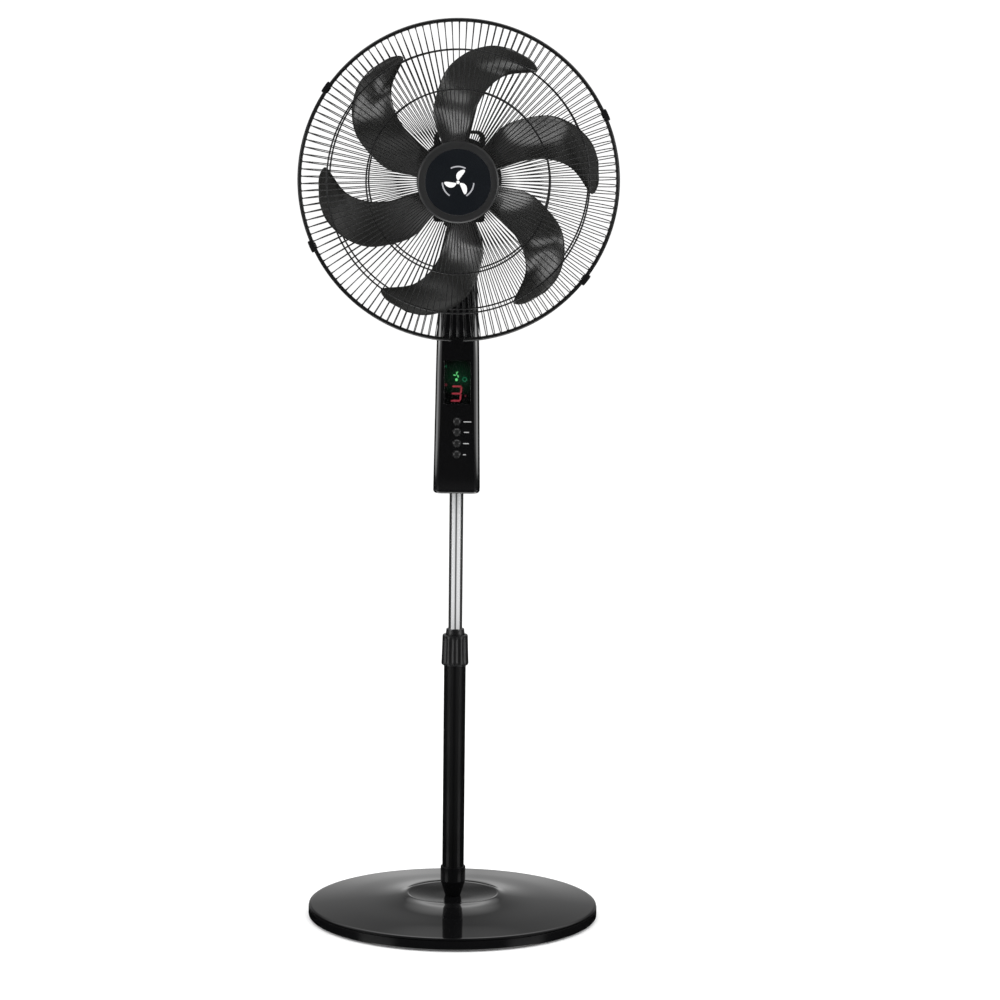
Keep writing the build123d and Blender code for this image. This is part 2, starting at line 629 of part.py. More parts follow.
def rim_clip(angle):
    """Clip hinged on the rear rim: a sleeve on it, a back plate and a hook over the front rim."""
    sleeve_inner, sleeve_outer = REAR_RIM_T + 0.08, REAR_RIM_T + 2.2
    start = -140.0
    face = Sketch() + Circle(sleeve_outer) - Circle(sleeve_inner)
    points = [(9 * cos(radians(start - 80 * k)), 9 * sin(radians(start - 80 * k))) for k in range(3)]
    face -= make_face(Polyline((0, 0), *points, close=True))
    sleeve = extrude(Plane.XZ * face, amount=3.3, both=True)
    back = block((REAR_RIM_T + 0.3, -8, -2.5), (REAR_RIM_T + 2.5, 8, 10.6))
    hook = block((-2.4, -8, 8.6), (REAR_RIM_T + 2.5, 8, 10.6))
    clip = sleeve + fillet((back + hook).edges().filter_by(Axis.Y).sort_by(Axis.X)[-2:], 1.2)
    place = Pos(REAR_RIM_R, 0, REAR_RIM_Z)
    return in_head(Rot(0, 0, 90.0 - angle) * place * clip)


def rim_lock():
    """Fixed bracket over both rims at 6 o'clock, with a lug for its screw."""
    body = block((REAR_RIM_R + REAR_RIM_T + 0.1, -8, 79.0), (222.0, 8, 94.0))
    lip = block((209.5, -8, FRONT_RIM_Z + FRONT_RIM_T + 0.1), (215.0, 8, 94.0))
    body = fillet((body + lip).edges().filter_by(Axis.Z).group_by(Axis.X)[-1], 3.0)
    body -= Pos(218.0, 0, 0) * rod(2.02, 70, 100)
    return in_head(Rot(0, 0, -90) * body)


def rim_screw():
    nut = Pos(0, 0, 76.0) * extrude(RegularPolygon(3.6, 6), 3.0)
    screw = rod(2.0, 79.0, 94.0) + rod(3.4, 94.0, 96.0) + nut
    slot = block((-3, -0.45, 95.2), (3, 0.45, 97))
    return in_head(Rot(0, 0, -90) * Pos(218.0, 0, 0) * (screw - slot))


# ---------------------------------------------------------------- build
PIECES = (base_cover, base_weight, base_bottom_plate, base_feet, base_screws, pole_foot,
          pole_bolt, outer_tube, tube_collet, height_nut, inner_tube, inner_tube_glide,
          tube_clamp, column_screws, cord_inlet, control_board, button_switches, display_lens,
          display_digit, indicator_leds, ir_receiver, tilt_bracket, tilt_pin, neck,
          swing_spindle, swing_motor, swing_crank, swing_link, motor_front_plate,
          motor_rear_shield, stator_core, stator_windings, motor_bearings, motor_cover,
          cover_screws, carry_handle, rotor_core, motor_shaft, impeller, blade_nut, front_rings,
          rear_rings, rear_mounting_plate, grille_nut, centre_cap, cap_disc, rim_lock, rim_screw)


def build():
    os.makedirs("parts", exist_ok=True)
    shell = column_shell()
    save("column_front_cover", column_front_cover(shell))
    save("column_rear_cover", column_rear_cover(shell))
    for piece in PIECES:
        save(piece.__name__, piece())
    for name, z in zip(BUTTON_NAMES, BUTTON_Z):
        save(name, push_button(z))
    save("rear_wires", wires(REAR_WIRE, REAR_PHASE))
    save("front_wires", wires(FRONT_WIRE, FRONT_PHASE))
    for name, angle in CLIP_ANGLES.items():
        save(name, rim_clip(between_wires(angle)))


build()
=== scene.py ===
from math import atan2, cos, pi, radians, sin, sqrt

import bmesh
import bpy
from mathutils import Matrix, Vector


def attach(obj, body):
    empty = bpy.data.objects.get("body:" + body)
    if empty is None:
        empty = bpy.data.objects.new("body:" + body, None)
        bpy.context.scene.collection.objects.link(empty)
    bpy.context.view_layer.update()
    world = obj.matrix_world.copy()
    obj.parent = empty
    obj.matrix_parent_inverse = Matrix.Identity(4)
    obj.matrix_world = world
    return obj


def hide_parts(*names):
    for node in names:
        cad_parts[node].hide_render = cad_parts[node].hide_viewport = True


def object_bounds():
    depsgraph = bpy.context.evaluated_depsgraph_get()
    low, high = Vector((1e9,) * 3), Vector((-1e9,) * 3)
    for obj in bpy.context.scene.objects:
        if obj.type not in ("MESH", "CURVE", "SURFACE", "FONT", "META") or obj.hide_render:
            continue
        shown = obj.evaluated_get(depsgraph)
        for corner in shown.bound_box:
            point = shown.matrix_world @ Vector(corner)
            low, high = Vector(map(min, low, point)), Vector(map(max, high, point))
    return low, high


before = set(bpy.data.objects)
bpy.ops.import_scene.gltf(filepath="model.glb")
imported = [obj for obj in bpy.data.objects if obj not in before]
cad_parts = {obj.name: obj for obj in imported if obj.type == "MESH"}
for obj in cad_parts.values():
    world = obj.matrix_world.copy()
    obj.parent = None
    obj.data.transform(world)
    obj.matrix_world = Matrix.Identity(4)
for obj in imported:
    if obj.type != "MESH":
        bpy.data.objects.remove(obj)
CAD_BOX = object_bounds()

# Lengths below are millimetres in the frame's own axes: x right, y to the back, z up.
MM = 0.001
HEAD_Z = 1020.0
TUBE_TOP = 389.5         # mouth of the lower pole

# Camera, in metres and degrees
CAMERA_AT = (0.0596, -4.5535, 1.1746)
CAMERA_DOWN, CAMERA_ROLL = 7.41, 0.642
CAMERA_LENS = 120.74

# Brightness of the studio's parts, as only glossy surfaces see them
ROOM_WHITE = 1.08       # what the camera and matt surfaces see instead
BOX_GLOW = 4.6          # boxes at both flanks, just below the horizon
SKY_GLOW = 2.6          # everything above the horizon
SIDE_GLOW = 5.4         # windows between front and flanks, one row low and one across the horizon
GROUND_GLOW = 5.5       # what lies almost straight below

# Area lights, which light only matt surfaces
SOFT_BOX_WATTS, TOP_LIGHT_WATTS = 16.0, 30.0
FLOOR_REACH, FLOOR_GAP = 60.0, 0.0002   # metres; the gap keeps the floor off the rubber feet

# Foot
BOWL_FROM = (61.0, 28.0)    # radius inside which, and height above which, the foot's bowl gets painted shade: the gloss black with far weaker reflection
SKIRT_TO = (196.95, 18.25)  # radius outside which, and height below which, its side wall and lip get the same painted shade

# Control column
COLUMN_BOTTOM, COLUMN_TOP, COLUMN_MIDDLE = 593.0, 918.0, 770.0
COLUMN_FRONT, COLUMN_BACK, COLUMN_SPLIT = -22.0, 26.0, 2.0
COLUMN_CORNER, COLUMN_WALL = 8.0, 2.5
CORD_HEIGHT = 612.0
BUTTON_HEIGHTS = {"power_button": 692.3, "speed_button": 678.0,
                  "swing_button": 662.6, "timer_button": 647.4}
BUTTON_R = 5.5
BOSS_SPOTS = ((-22.0, 642.0), (22.0, 642.0), (-18.0, 806.0), (18.0, 806.0))
LENS_HALF, LENS_LOW, LENS_HIGH = 18.0, 716.0, 776.0
STRAY_LIGHT_AT = (2.0, COLUMN_FRONT, 751.0)     # where the window glows most, between the symbols

# Cage and blades, in the head's own frame: x right, y up, f to the front
WIRE_COUNT, WIRE_R, WIRE_BEND = 134, 0.65, 30.0
FRONT_WIRE = ((47.0, 137.5), (208.5, 129.0), (208.5, 87.6))
REAR_WIRE = ((51.0, 43.9), (208.5, 50.0), (208.5, 86.0))
FRONT_PHASE, REAR_PHASE = 1.40, 1.75
SUPPORT_RINGS, SUPPORT_RING_R = (121.0, 173.0), 1.1
INNER_RING, INNER_RING_R = 50.0, 1.5
FRONT_RIM_R, FRONT_RIM_T, FRONT_RIM_F = 211.2, 2.2, 89.6
REAR_RIM_R, REAR_RIM_T, REAR_RIM_F = 211.6, 2.6, 83.6
WELD = 0.15     # depth to which the rings sink into the wires
CLIP_ANGLES = {"upper_right_clip": 64.9, "lower_right_clip": 125.9,
               "lower_left_clip": 244.1, "upper_left_clip": 304.3}
BLADE_COUNT, BLADE_F = 6, 89.0
# Along the blade: both edges as radius and clock angle, trailing first, then depth, camber, thickness
BLADE_STATIONS = (
    (43.8, -25.0, 43.8, 14.5, 29.0, 1.5, 2.8),
    (59.7, -23.8, 59.7, 13.5, 31.0, 3.0, 2.6),
    (92.1, -21.5, 92.1, 12.9, 34.0, 4.5, 2.4),
    (122.4, -13.5, 122.4, 16.3, 33.0, 5.0, 2.2),
    (149.2, -6.0, 149.2, 22.7, 30.0, 4.6, 2.1),
    (168.3, 2.6, 168.3, 31.9, 24.0, 3.6, 2.0),
    (179.0, 9.6, 176.5, 35.0, 18.0, 2.4, 1.9),
    (184.3, 14.5, 181.8, 34.2, 14.0, 1.5, 1.8),
    (186.3, 19.0, 185.6, 31.0, 10.0, 0.8, 1.7),
)


# ---------------------------------------------------------------- mesh helpers
def make_piece(name, verts, faces, sharp=35.0):
    """A mesh object from corners in millimetres, smooth except at edges sharper than the angle."""
    mesh = bpy.data.meshes.new(name)
    mesh.from_pydata([Vector(v) * MM for v in verts], [], faces)
    piece = bpy.data.objects.new(name, mesh)
    bpy.context.scene.collection.objects.link(piece)
    return finish_mesh(piece, sharp)


def finish_mesh(piece, sharp):
    """Welds doubles, turns the faces outward and sets the shading."""
    bm = bmesh.new()
    bm.from_mesh(piece.data)
    bmesh.ops.remove_doubles(bm, verts=bm.verts, dist=1e-7)
    bmesh.ops.recalc_face_normals(bm, faces=bm.faces)
    bm.to_mesh(piece.data)
    bm.free()
    piece.data.shade_smooth()
    piece.data.set_sharp_from_angle(angle=radians(sharp))
    return piece


def dress(piece, body, finish, *nodes):
    """Material, body and the CAD nodes that the piece stands for."""
    if finish != "coated_wire":
        weighted(piece)
    piece.data.materials.append(MATERIALS[finish])
    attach(piece, body)
    if nodes:
        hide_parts(*nodes)
    return piece


def merged(parts):
    """Several (verts, faces) sets as one."""
    verts, faces = [], []
    for part_verts, part_faces in parts:
        start = len(verts)
        verts += part_verts
        faces += [[start + i for i in face] for face in part_faces]
    return verts, faces


def placed(part, move):
    verts, faces = part
    return [move @ Vector(v) for v in verts], faces


def in_head(part):
    """From the head's frame to the fan's."""
    verts, faces = part
    return [(x, -f, HEAD_Z + y) for x, y, f in verts], faces


def spun(part, count, phase=0.0):
    """Copies of a part drawn in the head's frame, turned about the head's axis."""
    turns = (Matrix.Rotation(radians(phase + 360.0 * k / count), 4, "Z") for k in range(count))
    return merged([placed(part, turn) for turn in turns])


def lathe(profile, segments=128):
    """Solid of revolution about z from a closed outline of (radius, height) corners."""
    verts, rings = [], []
    for r, z in profile:
        if r < 1e-6:
            rings.append([len(verts)] * segments)
            verts.append((0.0, 0.0, z))
            continue
        rings.append(list(range(len(verts), len(verts) + segments)))
        verts += circle(r, z, segments)
    faces = []
    for low, high in zip(rings, rings[1:] + rings[:1]):
        for k in range(segments):
            corners = [low[k], low[(k + 1) % segments], high[(k + 1) % segments], high[k]]
            face = list(dict.fromkeys(corners))
            if len(face) > 2:
                faces.append(face)
    return verts, faces


def rounded(profile, radius, steps=4):
    """A closed outline with its corners rounded off; a corner may carry its own radius as a third value."""
    points = []
    count = len(profile)
    for i, corner in enumerate(profile):
        here = Vector(corner[:2])
        before = Vector(profile[i - 1][:2]) - here
        after = Vector(profile[(i + 1) % count][:2]) - here
        wanted = corner[2] if len(corner) > 2 else radius
        turn = before.angle(after)
        if wanted <= 0 or here.x < 1e-6 or turn > radians(175):
            points.append(tuple(here))
            continue
        reach = min(wanted / abs(sin(turn / 2) / cos(turn / 2)), before.length * 0.45, after.length * 0.45)
        start, end = here + before.normalized() * reach, here + after.normalized() * reach
        for k in range(steps + 1):
            t = k / steps
            points.append(tuple(start * (1 - t) ** 2 + here * 2 * t * (1 - t) + end * t ** 2))
    return points


def through(points, steps):
    """Smooth curve through all the points, which may have any number of values each."""
    curve = []
    last = len(points) - 1
    for i in range(last):
        p0, p1, p2, p3 = points[max(i - 1, 0)], points[i], points[i + 1], points[min(i + 2, last)]
        for k in range(steps):
            t = k / steps
            curve.append(tuple(
                0.5 * (2 * b + (c - a) * t + (2 * a - 5 * b + 4 * c - d) * t ** 2
                       + (3 * b - a - 3 * c + d) * t ** 3)
                for a, b, c, d in zip(p0, p1, p2, p3)))
    return curve + [tuple(points[last])]


def loft(sections):
    """Closed solid through loops that all have the same number of points."""
    size = len(sections[0])
    verts = [p for section in sections for p in section]
    faces = [list(range(size)), list(range(len(verts) - size, len(verts)))]
    for row in range(len(sections) - 1):
        base = row * size
        for k in range(size):
            nxt = (k + 1) % size
            faces.append([base + k, base + nxt, base + size + nxt, base + size + k])
    return verts, faces


def pipe(path, radius, sides=8, closed=False):
    """Round bar along a path that lies in one plane through the z axis, or in a level plane."""
    path = [Vector(p) for p in path]
    rings = []
    count = len(path)
    for i, here in enumerate(path):
        before = path[i - 1] if closed or i else here
        after = path[(i + 1) % count] if closed or i < count - 1 else here
        along = (after - before).normalized()
        side = along.cross(Vector((0, 0, 1)))
        side = side.normalized() if side.length > 1e-3 else Vector((0, 1, 0))
        up = side.cross(along)
        rings.append([here + (side * cos(2 * pi * k / sides) + up * sin(2 * pi * k / sides)) * radius
                      for k in range(sides)])
    if not closed:
        return loft(rings)
    verts, faces = loft(rings + [rings[0]])
    return verts, faces[2:]


def circle(radius, height, segments):
    return [(radius * cos(2 * pi * k / segments), radius * sin(2 * pi * k / segments), height)
            for k in range(segments)]


def disc(radius, low, high, segments, edge=0.05):
    """Round plate along z with narrow bevelled edges."""
    return slab([p[:2] for p in circle(radius, 0, segments)], low, high, edge, 1)


def inset(outline, by):
    """A closed outline of (x, y) points drawn in by a distance."""
    count = len(outline)
    area = sum(outline[i - 1][0] * outline[i][1] - outline[i][0] * outline[i - 1][1] for i in range(count))
    way = 1.0 if area > 0 else -1.0
    drawn = []
    for i in range(count):
        before = (Vector(outline[i]) - Vector(outline[i - 1])).normalized()
        after = (Vector(outline[(i + 1) % count]) - Vector(outline[i])).normalized()
        normal = (Vector((-before.y, before.x)) + Vector((-after.y, after.x))).normalized() * way
        stretch = max(normal.dot(Vector((-before.y, before.x)) * way), 0.5)
        drawn.append(tuple(Vector(outline[i]) + normal * by / stretch))
    return drawn


def slab(outline, low, high, edge, steps=3):
    """Outline of (x, y) points as a plate along z with rounded edges."""
    levels = [(edge * (1 - sin(pi / 2 * k / steps)), low + edge * (1 - cos(pi / 2 * k / steps)))
              for k in range(steps + 1)]
    levels += [(by, low + high - z) for by, z in reversed(levels)]
    return loft([[(x, y, z) for x, y in inset(outline, by)] for by, z in levels])


def bar_outline(x0, y0, x1, y1, corner, steps=5):
    """Rectangle with round corners, as (x, y) points."""
    points = []
    left, right, low, high = x0 + corner, x1 - corner, y0 + corner, y1 - corner
    middles = ((right, high), (left, high), (left, low), (right, low))
    for quarter, (cx, cy) in enumerate(middles):
        for k in range(steps + 1):
            angle = pi / 2 * (quarter + k / steps)
            points.append((cx + corner * cos(angle), cy + corner * sin(angle)))
    return points


def lying(part, x, y, z):
    """A part drawn along z, laid down to point to the back (+y) from (x, y, z)."""
    return placed(part, Matrix.Translation((x, y, z)) @ Matrix.Rotation(radians(-90), 4, "X"))


def facing(part, y, z=0.0):
    """A part drawn in (x, up, depth), stood upright with its depth towards the front at y."""
    verts, faces = part
    return [(px, y - d, z + up) for px, up, d in verts], faces


def carve(piece, cutters, sharp):
    """Cuts closed parts out of a piece."""
    tools = []
    for i, cutter in enumerate(cutters):
        tool = make_piece(f"{piece.name}_cut_{i}", *cutter)
        modifier = piece.modifiers.new("cut", "BOOLEAN")
        modifier.operation, modifier.solver, modifier.object = "DIFFERENCE", "EXACT", tool
        tools.append(tool)
    baked(piece)
    for tool in tools:
        bpy.data.objects.remove(tool)
    return finish_mesh(piece, sharp)


def baked(piece):
    """Turns a piece's modifiers into mesh."""
    bpy.context.view_layer.update()
    shape = bpy.data.meshes.new_from_object(piece.evaluated_get(bpy.context.evaluated_depsgraph_get()))
    piece.modifiers.clear()
    piece.data = shape


def bevel(piece, width, segments=2):
    """Breaks every edge sharper than 50 degrees."""
    modifier = piece.modifiers.new("edges", "BEVEL")
    modifier.width, modifier.segments = width * MM, segments
    modifier.limit_method, modifier.angle_limit = "ANGLE", radians(50)
    baked(piece)
    return finish_mesh(piece, 35.0)


def weighted(piece):
    """Shading that follows the large faces, so that holes and narrow bevels don't smudge them."""
    modifier = piece.modifiers.new("shading", "WEIGHTED_NORMAL")
    modifier.keep_sharp = True
    baked(piece)


# ---------------------------------------------------------------- materials
def nodes_of(name):
    material = bpy.data.materials.new(name)
    material.use_nodes = True
    return material, material.node_tree.nodes, material.node_tree.links


def noise(nodes, links, scale, detail=3.0, stretch=(1.0, 1.0, 1.0)):
    """Noise in the piece's own metres; scale counts features per metre."""
    place = nodes.new("ShaderNodeTexCoord")
    mapping = nodes.new("ShaderNodeMapping")
    mapping.inputs["Scale"].default_value = stretch
    texture = nodes.new("ShaderNodeTexNoise")
    texture.inputs["Scale"].default_value = scale
    texture.inputs["Detail"].default_value = detail
    links.new(place.outputs["Object"], mapping.inputs["Vector"])
    links.new(mapping.outputs["Vector"], texture.inputs["Vector"])
    return texture.outputs["Fac"]


def spread(nodes, links, value, low, high, from_low=0.3, from_high=0.7):
    """A value between two bounds, by default those of noise, mapped to another range."""
    node = nodes.new("ShaderNodeMapRange")
    node.inputs["From Min"].default_value = from_low
    node.inputs["From Max"].default_value = from_high
    node.inputs["To Min"].default_value = low
    node.inputs["To Max"].default_value = high
    links.new(value, node.inputs["Value"])
    return node.outputs["Result"]


def tinted(nodes, links, value, dark, light):
    """Noise mapped between two colours."""
    mix = nodes.new("ShaderNodeMix")
    mix.data_type = "RGBA"
    mix.inputs["A"].default_value = (*dark, 1)
    mix.inputs["B"].default_value = (*light, 1)
    links.new(value, mix.inputs["Factor"])
    return mix.outputs["Result"]


def finish(name, dark, light, rough, cloud=18.0, grain=1400.0, depth=0.02, metallic=0.0, coat=0.0,
           stretch=(1, 1, 1), gloss=0.5):
    """Moulded, painted or metal surface: cloudy colour and gloss, with a fine grain in its relief."""
    material, nodes, links = nodes_of(name)
    shader = nodes["Principled BSDF"]
    clouds = noise(nodes, links, cloud, 4.0, stretch)
    links.new(tinted(nodes, links, clouds, dark, light), shader.inputs["Base Color"])
    links.new(spread(nodes, links, clouds, *rough), shader.inputs["Roughness"])
    bump = nodes.new("ShaderNodeBump")
    bump.inputs["Strength"].default_value = 0.6
    bump.inputs["Distance"].default_value = depth * MM
    links.new(noise(nodes, links, grain, 2.0, stretch), bump.inputs["Height"])
    links.new(bump.outputs["Normal"], shader.inputs["Normal"])
    shader.inputs["Metallic"].default_value = metallic
    shader.inputs["Specular IOR Level"].default_value = gloss
    shader.inputs["Coat Weight"].default_value = coat
    shader.inputs["Coat Roughness"].default_value = 0.08
    return material


def glowing(name, colour, strength):
    """Light-emitting plastic, a little uneven in its brightness."""
    material, nodes, links = nodes_of(name)
    shader = nodes["Principled BSDF"]
    shader.inputs["Base Color"].default_value = (*[0.15 * c for c in colour], 1)
    shader.inputs["Roughness"].default_value = 0.4
    shader.inputs["Emission Color"].default_value = (*colour, 1)
    grain = noise(nodes, links, 260.0, 2.0)
    uneven = spread(nodes, links, grain, 0.75 * strength, 1.2 * strength)
    links.new(uneven, shader.inputs["Emission Strength"])
    return material


def smoked():
    """Clear dark plastic over the display, with a faint glow round the lit symbols."""
    material, nodes, links = nodes_of("smoked_lens")
    shader = nodes["Principled BSDF"]
    shader.inputs["Base Color"].default_value = (0.035, 0.037, 0.037, 1)
    shader.inputs["Transmission Weight"].default_value = 0.98
    shader.inputs["IOR"].default_value = 1.47
    links.new(spread(nodes, links, noise(nodes, links, 60.0), 0.03, 0.06), shader.inputs["Roughness"])
    place = nodes.new("ShaderNodeTexCoord")
    away = nodes.new("ShaderNodeVectorMath")
    away.operation = "DISTANCE"
    away.inputs[1].default_value = [MM * v for v in STRAY_LIGHT_AT]
    links.new(place.outputs["Object"], away.inputs[0])
    shader.inputs["Emission Color"].default_value = (0.12, 1.0, 0.42, 1)
    strongest, near, far = 0.012, 0.002, 0.026
    fading = spread(nodes, links, away.outputs["Value"], strongest, 0.0, near, far)
    links.new(fading, shader.inputs["Emission Strength"])
    return material


def grey(level):
    return (level, level, level)


def black_finishes():
    return [
        finish("gloss_black", (0.0024, 0.0024, 0.0026), (0.0036, 0.0036, 0.0039), (0.03, 0.05),
               9.0, 700.0, 0.003),
        finish("satin_black", (0.0035, 0.0035, 0.0038), (0.006, 0.006, 0.0063), (0.26, 0.36),
               22.0, 2200.0, 0.02, gloss=0.25),
        # Painted shade: the gloss black with far weaker reflection, for the foot's bowl, side wall and lip
        # and for the pole collar
        finish("painted_shade_black", (0.0024, 0.0024, 0.0026), (0.0036, 0.0036, 0.0039), (0.12, 0.18),
               9.0, 700.0, 0.003, gloss=0.08),
        finish("black_plastic", grey(0.010), grey(0.016), (0.45, 0.6),
               22.0, 1800.0, 0.05),
        finish("painted_tube", (0.0022, 0.0022, 0.0024), (0.0034, 0.0034, 0.0036), (0.12, 0.17),
               14.0, 900.0, 0.006, gloss=0.22),
        finish("rubber_feet", grey(0.012), grey(0.022), (0.7, 0.88),
               60.0, 1600.0, 0.06),
        finish("switch_black", grey(0.012), grey(0.02), (0.4, 0.55),
               80.0, 1500.0, 0.02),
        finish("button_black", (0.008, 0.008, 0.0083), (0.011, 0.011, 0.0114), (0.18, 0.26),
               60.0, 2400.0, 0.01),
        finish("coated_wire", (0.003, 0.003, 0.0032), (0.005, 0.005, 0.0053), (0.26, 0.34),
               25.0, 1600.0, 0.01, gloss=0.3),
        finish("cap_grey", (0.010, 0.0102, 0.0106), (0.012, 0.0122, 0.0126), (0.36, 0.44),
               30.0, 2600.0, 0.004, gloss=0.4),
        finish("cap_navy", (0.0035, 0.0048, 0.0066), (0.0043, 0.0057, 0.0078), (0.18, 0.24),
               30.0, 1500.0, 0.0),
        finish("blade_black", (0.012, 0.012, 0.0115), (0.017, 0.017, 0.016), (0.14, 0.20),
               16.0, 500.0, 0.004, coat=0.2),
    ]


def metal_finishes():
    return [
        finish("chrome_tube", (0.82, 0.83, 0.84), (0.88, 0.88, 0.89), (0.05, 0.07),
               30.0, 900.0, 0.0, 1.0, stretch=(1, 1, 0.15)),
        finish("ballast_steel", (0.10, 0.09, 0.085), (0.20, 0.19, 0.18), (0.45, 0.7),
               30.0, 500.0, 0.08, 0.8),
        finish("zinc_steel", (0.48, 0.47, 0.44), (0.66, 0.65, 0.60), (0.25, 0.4),
               90.0, 1500.0, 0.01, 1.0),
        finish("cast_alloy", (0.36, 0.37, 0.38), (0.52, 0.53, 0.54), (0.4, 0.6),
               40.0, 700.0, 0.1, 0.9),
        finish("core_steel", (0.16, 0.16, 0.17), (0.28, 0.28, 0.29), (0.35, 0.55),
               60.0, 2000.0, 0.05, 1.0, stretch=(1, 12, 1)),
        finish("copper_wire", (0.50, 0.17, 0.06), (0.72, 0.28, 0.11), (0.25, 0.4),
               120.0, 900.0, 0.2, 1.0),
        finish("bronze_bush", (0.42, 0.26, 0.10), (0.58, 0.37, 0.16), (0.35, 0.5),
               80.0, 1500.0, 0.04, 1.0),
    ]


def electric_finishes():
    """Board, window, display, lit symbols and prints."""
    return [
        finish("board_green", (0.008, 0.07, 0.03), (0.015, 0.11, 0.045), (0.3, 0.45),
               120.0, 900.0, 0.03),
        smoked(),
        finish("display_red", (0.010, 0.008, 0.008), (0.016, 0.012, 0.012), (0.35, 0.5),
               80.0, 1500.0, 0.02),
        finish("led_green", (0.02, 0.05, 0.03), (0.03, 0.08, 0.04), (0.2, 0.3), 80.0, 1500.0, 0.01),
        finish("white_plastic", (0.55, 0.55, 0.53), (0.7, 0.7, 0.68), (0.35, 0.5), 40.0, 1500.0, 0.02),
        finish("printed_white", grey(0.62), grey(0.80), (0.35, 0.5),
               90.0, 2000.0, 0.01),
        finish("printed_pale", grey(0.30), grey(0.38), (0.35, 0.5), 90.0, 2000.0, 0.01),
        finish("printed_grey", (0.28, 0.28, 0.30), (0.36, 0.36, 0.38), (0.35, 0.5), 90.0, 2000.0, 0.01),
        glowing("lit_red", (1.0, 0.09, 0.14), 9.0),
        glowing("lit_green", (0.22, 1.0, 0.32), 17.0),
        glowing("faint_green", (0.08, 1.0, 0.45), 3.4),
        glowing("faint_red", (1.0, 0.10, 0.2), 2.0),
    ]


def make_materials():
    made = black_finishes() + metal_finishes() + electric_finishes()
    return {material.name: material for material in made}


def make_floor_material():
    material, nodes, links = nodes_of("studio_floor")
    shader = nodes["Principled BSDF"]
    clouds = noise(nodes, links, 3.0)
    links.new(tinted(nodes, links, clouds, grey(0.955), grey(0.975)),
              shader.inputs["Base Color"])
    shader.inputs["Roughness"].default_value = 1.0
    shader.inputs["Specular IOR Level"].default_value = 0.0
    return material


# ---------------------------------------------------------------- foot and poles
def build_foot():
    dome = through([(196.9, 18.2), (150.0, 22.4), (105.0, 25.8), (78.0, 29.2), (66.0, 31.9)], 10)
    crest = through([(66.0, 31.9), (63.5, 32.3), (61.3, 31.8)], 4)
    bowl = through([(61.3, 31.8), (50.0, 30.3), (38.0, 29.1), (27.0, 28.4), (17.0, 28.2)], 6)
    skirt = rounded([(198.8, 2.0), (200.0, 3.4), (200.0, 14.5), (197.6, 14.5), (197.6, 16.1),
                     (199.5, 16.1)], 0.5)
    lip = [(199.5, 16.6), (199.2, 17.1), (198.4, 17.7)]
    inside = [(8.1, 28.2), (8.1, 11.0), (16.0, 11.0), (16.0, 25.8), (60.0, 27.7), (66.0, 28.9),
              (105.0, 23.3), (150.0, 19.9), (193.5, 15.5), (194.4, 13.0), (197.4, 12.0), (197.4, 2.0)]
    outline = skirt[1:-2] + lip + dome + crest[1:] + bowl[1:] + inside
    shell = make_piece("foot_shell", *lathe(outline, 256), sharp=30.0)
    dress(shell, "base", "gloss_black", "base_cover")
    # Second slot: painted shade on the bowl and on the side wall and lip, as a weakly reflecting copy of the
    # gloss black
    shell.data.materials.append(MATERIALS["painted_shade_black"])
    for face in shell.data.polygons:
        out, up = face.center.xy.length / MM, face.center.z / MM
        in_bowl = out < BOWL_FROM[0] and up > BOWL_FROM[1]
        on_skirt = out > SKIRT_TO[0] and up < SKIRT_TO[1]
        face.material_index = int(in_bowl or on_skirt)


def build_pole_collar():
    collar = rounded([(4.1, 14.0), (8.0, 14.0), (8.0, 28.3), (10.6, 28.3, 1.5), (17.25, 49.0, 9.0),
                      (17.25, 70.0, 1.2), (15.05, 70.0, 0.2), (15.05, 52.0), (13.45, 52.0),
                      (13.45, 60.0), (0, 60.0), (0, 46.0), (4.1, 46.0)], 0.0, 8)
    # The collar gets the same painted shade as the foot's bowl
    piece = dress(make_piece("pole_collar", *lathe(collar), sharp=28.0), "base", "painted_shade_black", "pole_foot")


def build_poles():
    lower = rounded([(13.5, 52.0), (15.0, 52.0), (15.0, TUBE_TOP), (13.5, TUBE_TOP)], 0.35)
    dress(make_piece("lower_pole", *lathe(lower)), "base", "painted_tube", "outer_tube")
    chrome = rounded([(8.2, 243.0), (9.5, 243.0), (9.5, 868.0), (8.2, 868.0)], 0.3)
    dress(make_piece("chrome_pole", *lathe(chrome)), "column", "chrome_tube", "inner_tube")
    low, high = TUBE_TOP - 42, TUBE_TOP + 14
    bush = rounded([(9.55, low), (13.45, low), (13.45, TUBE_TOP), (14.8, TUBE_TOP), (14.8, TUBE_TOP + 2.5),
                    (12.9, TUBE_TOP + 2.5), (12.9, high - 6), (12.2, high), (9.55, high)], 0.35, 3)
    dress(make_piece("pole_bush", *lathe(bush)), "base", "satin_black", "tube_collet")


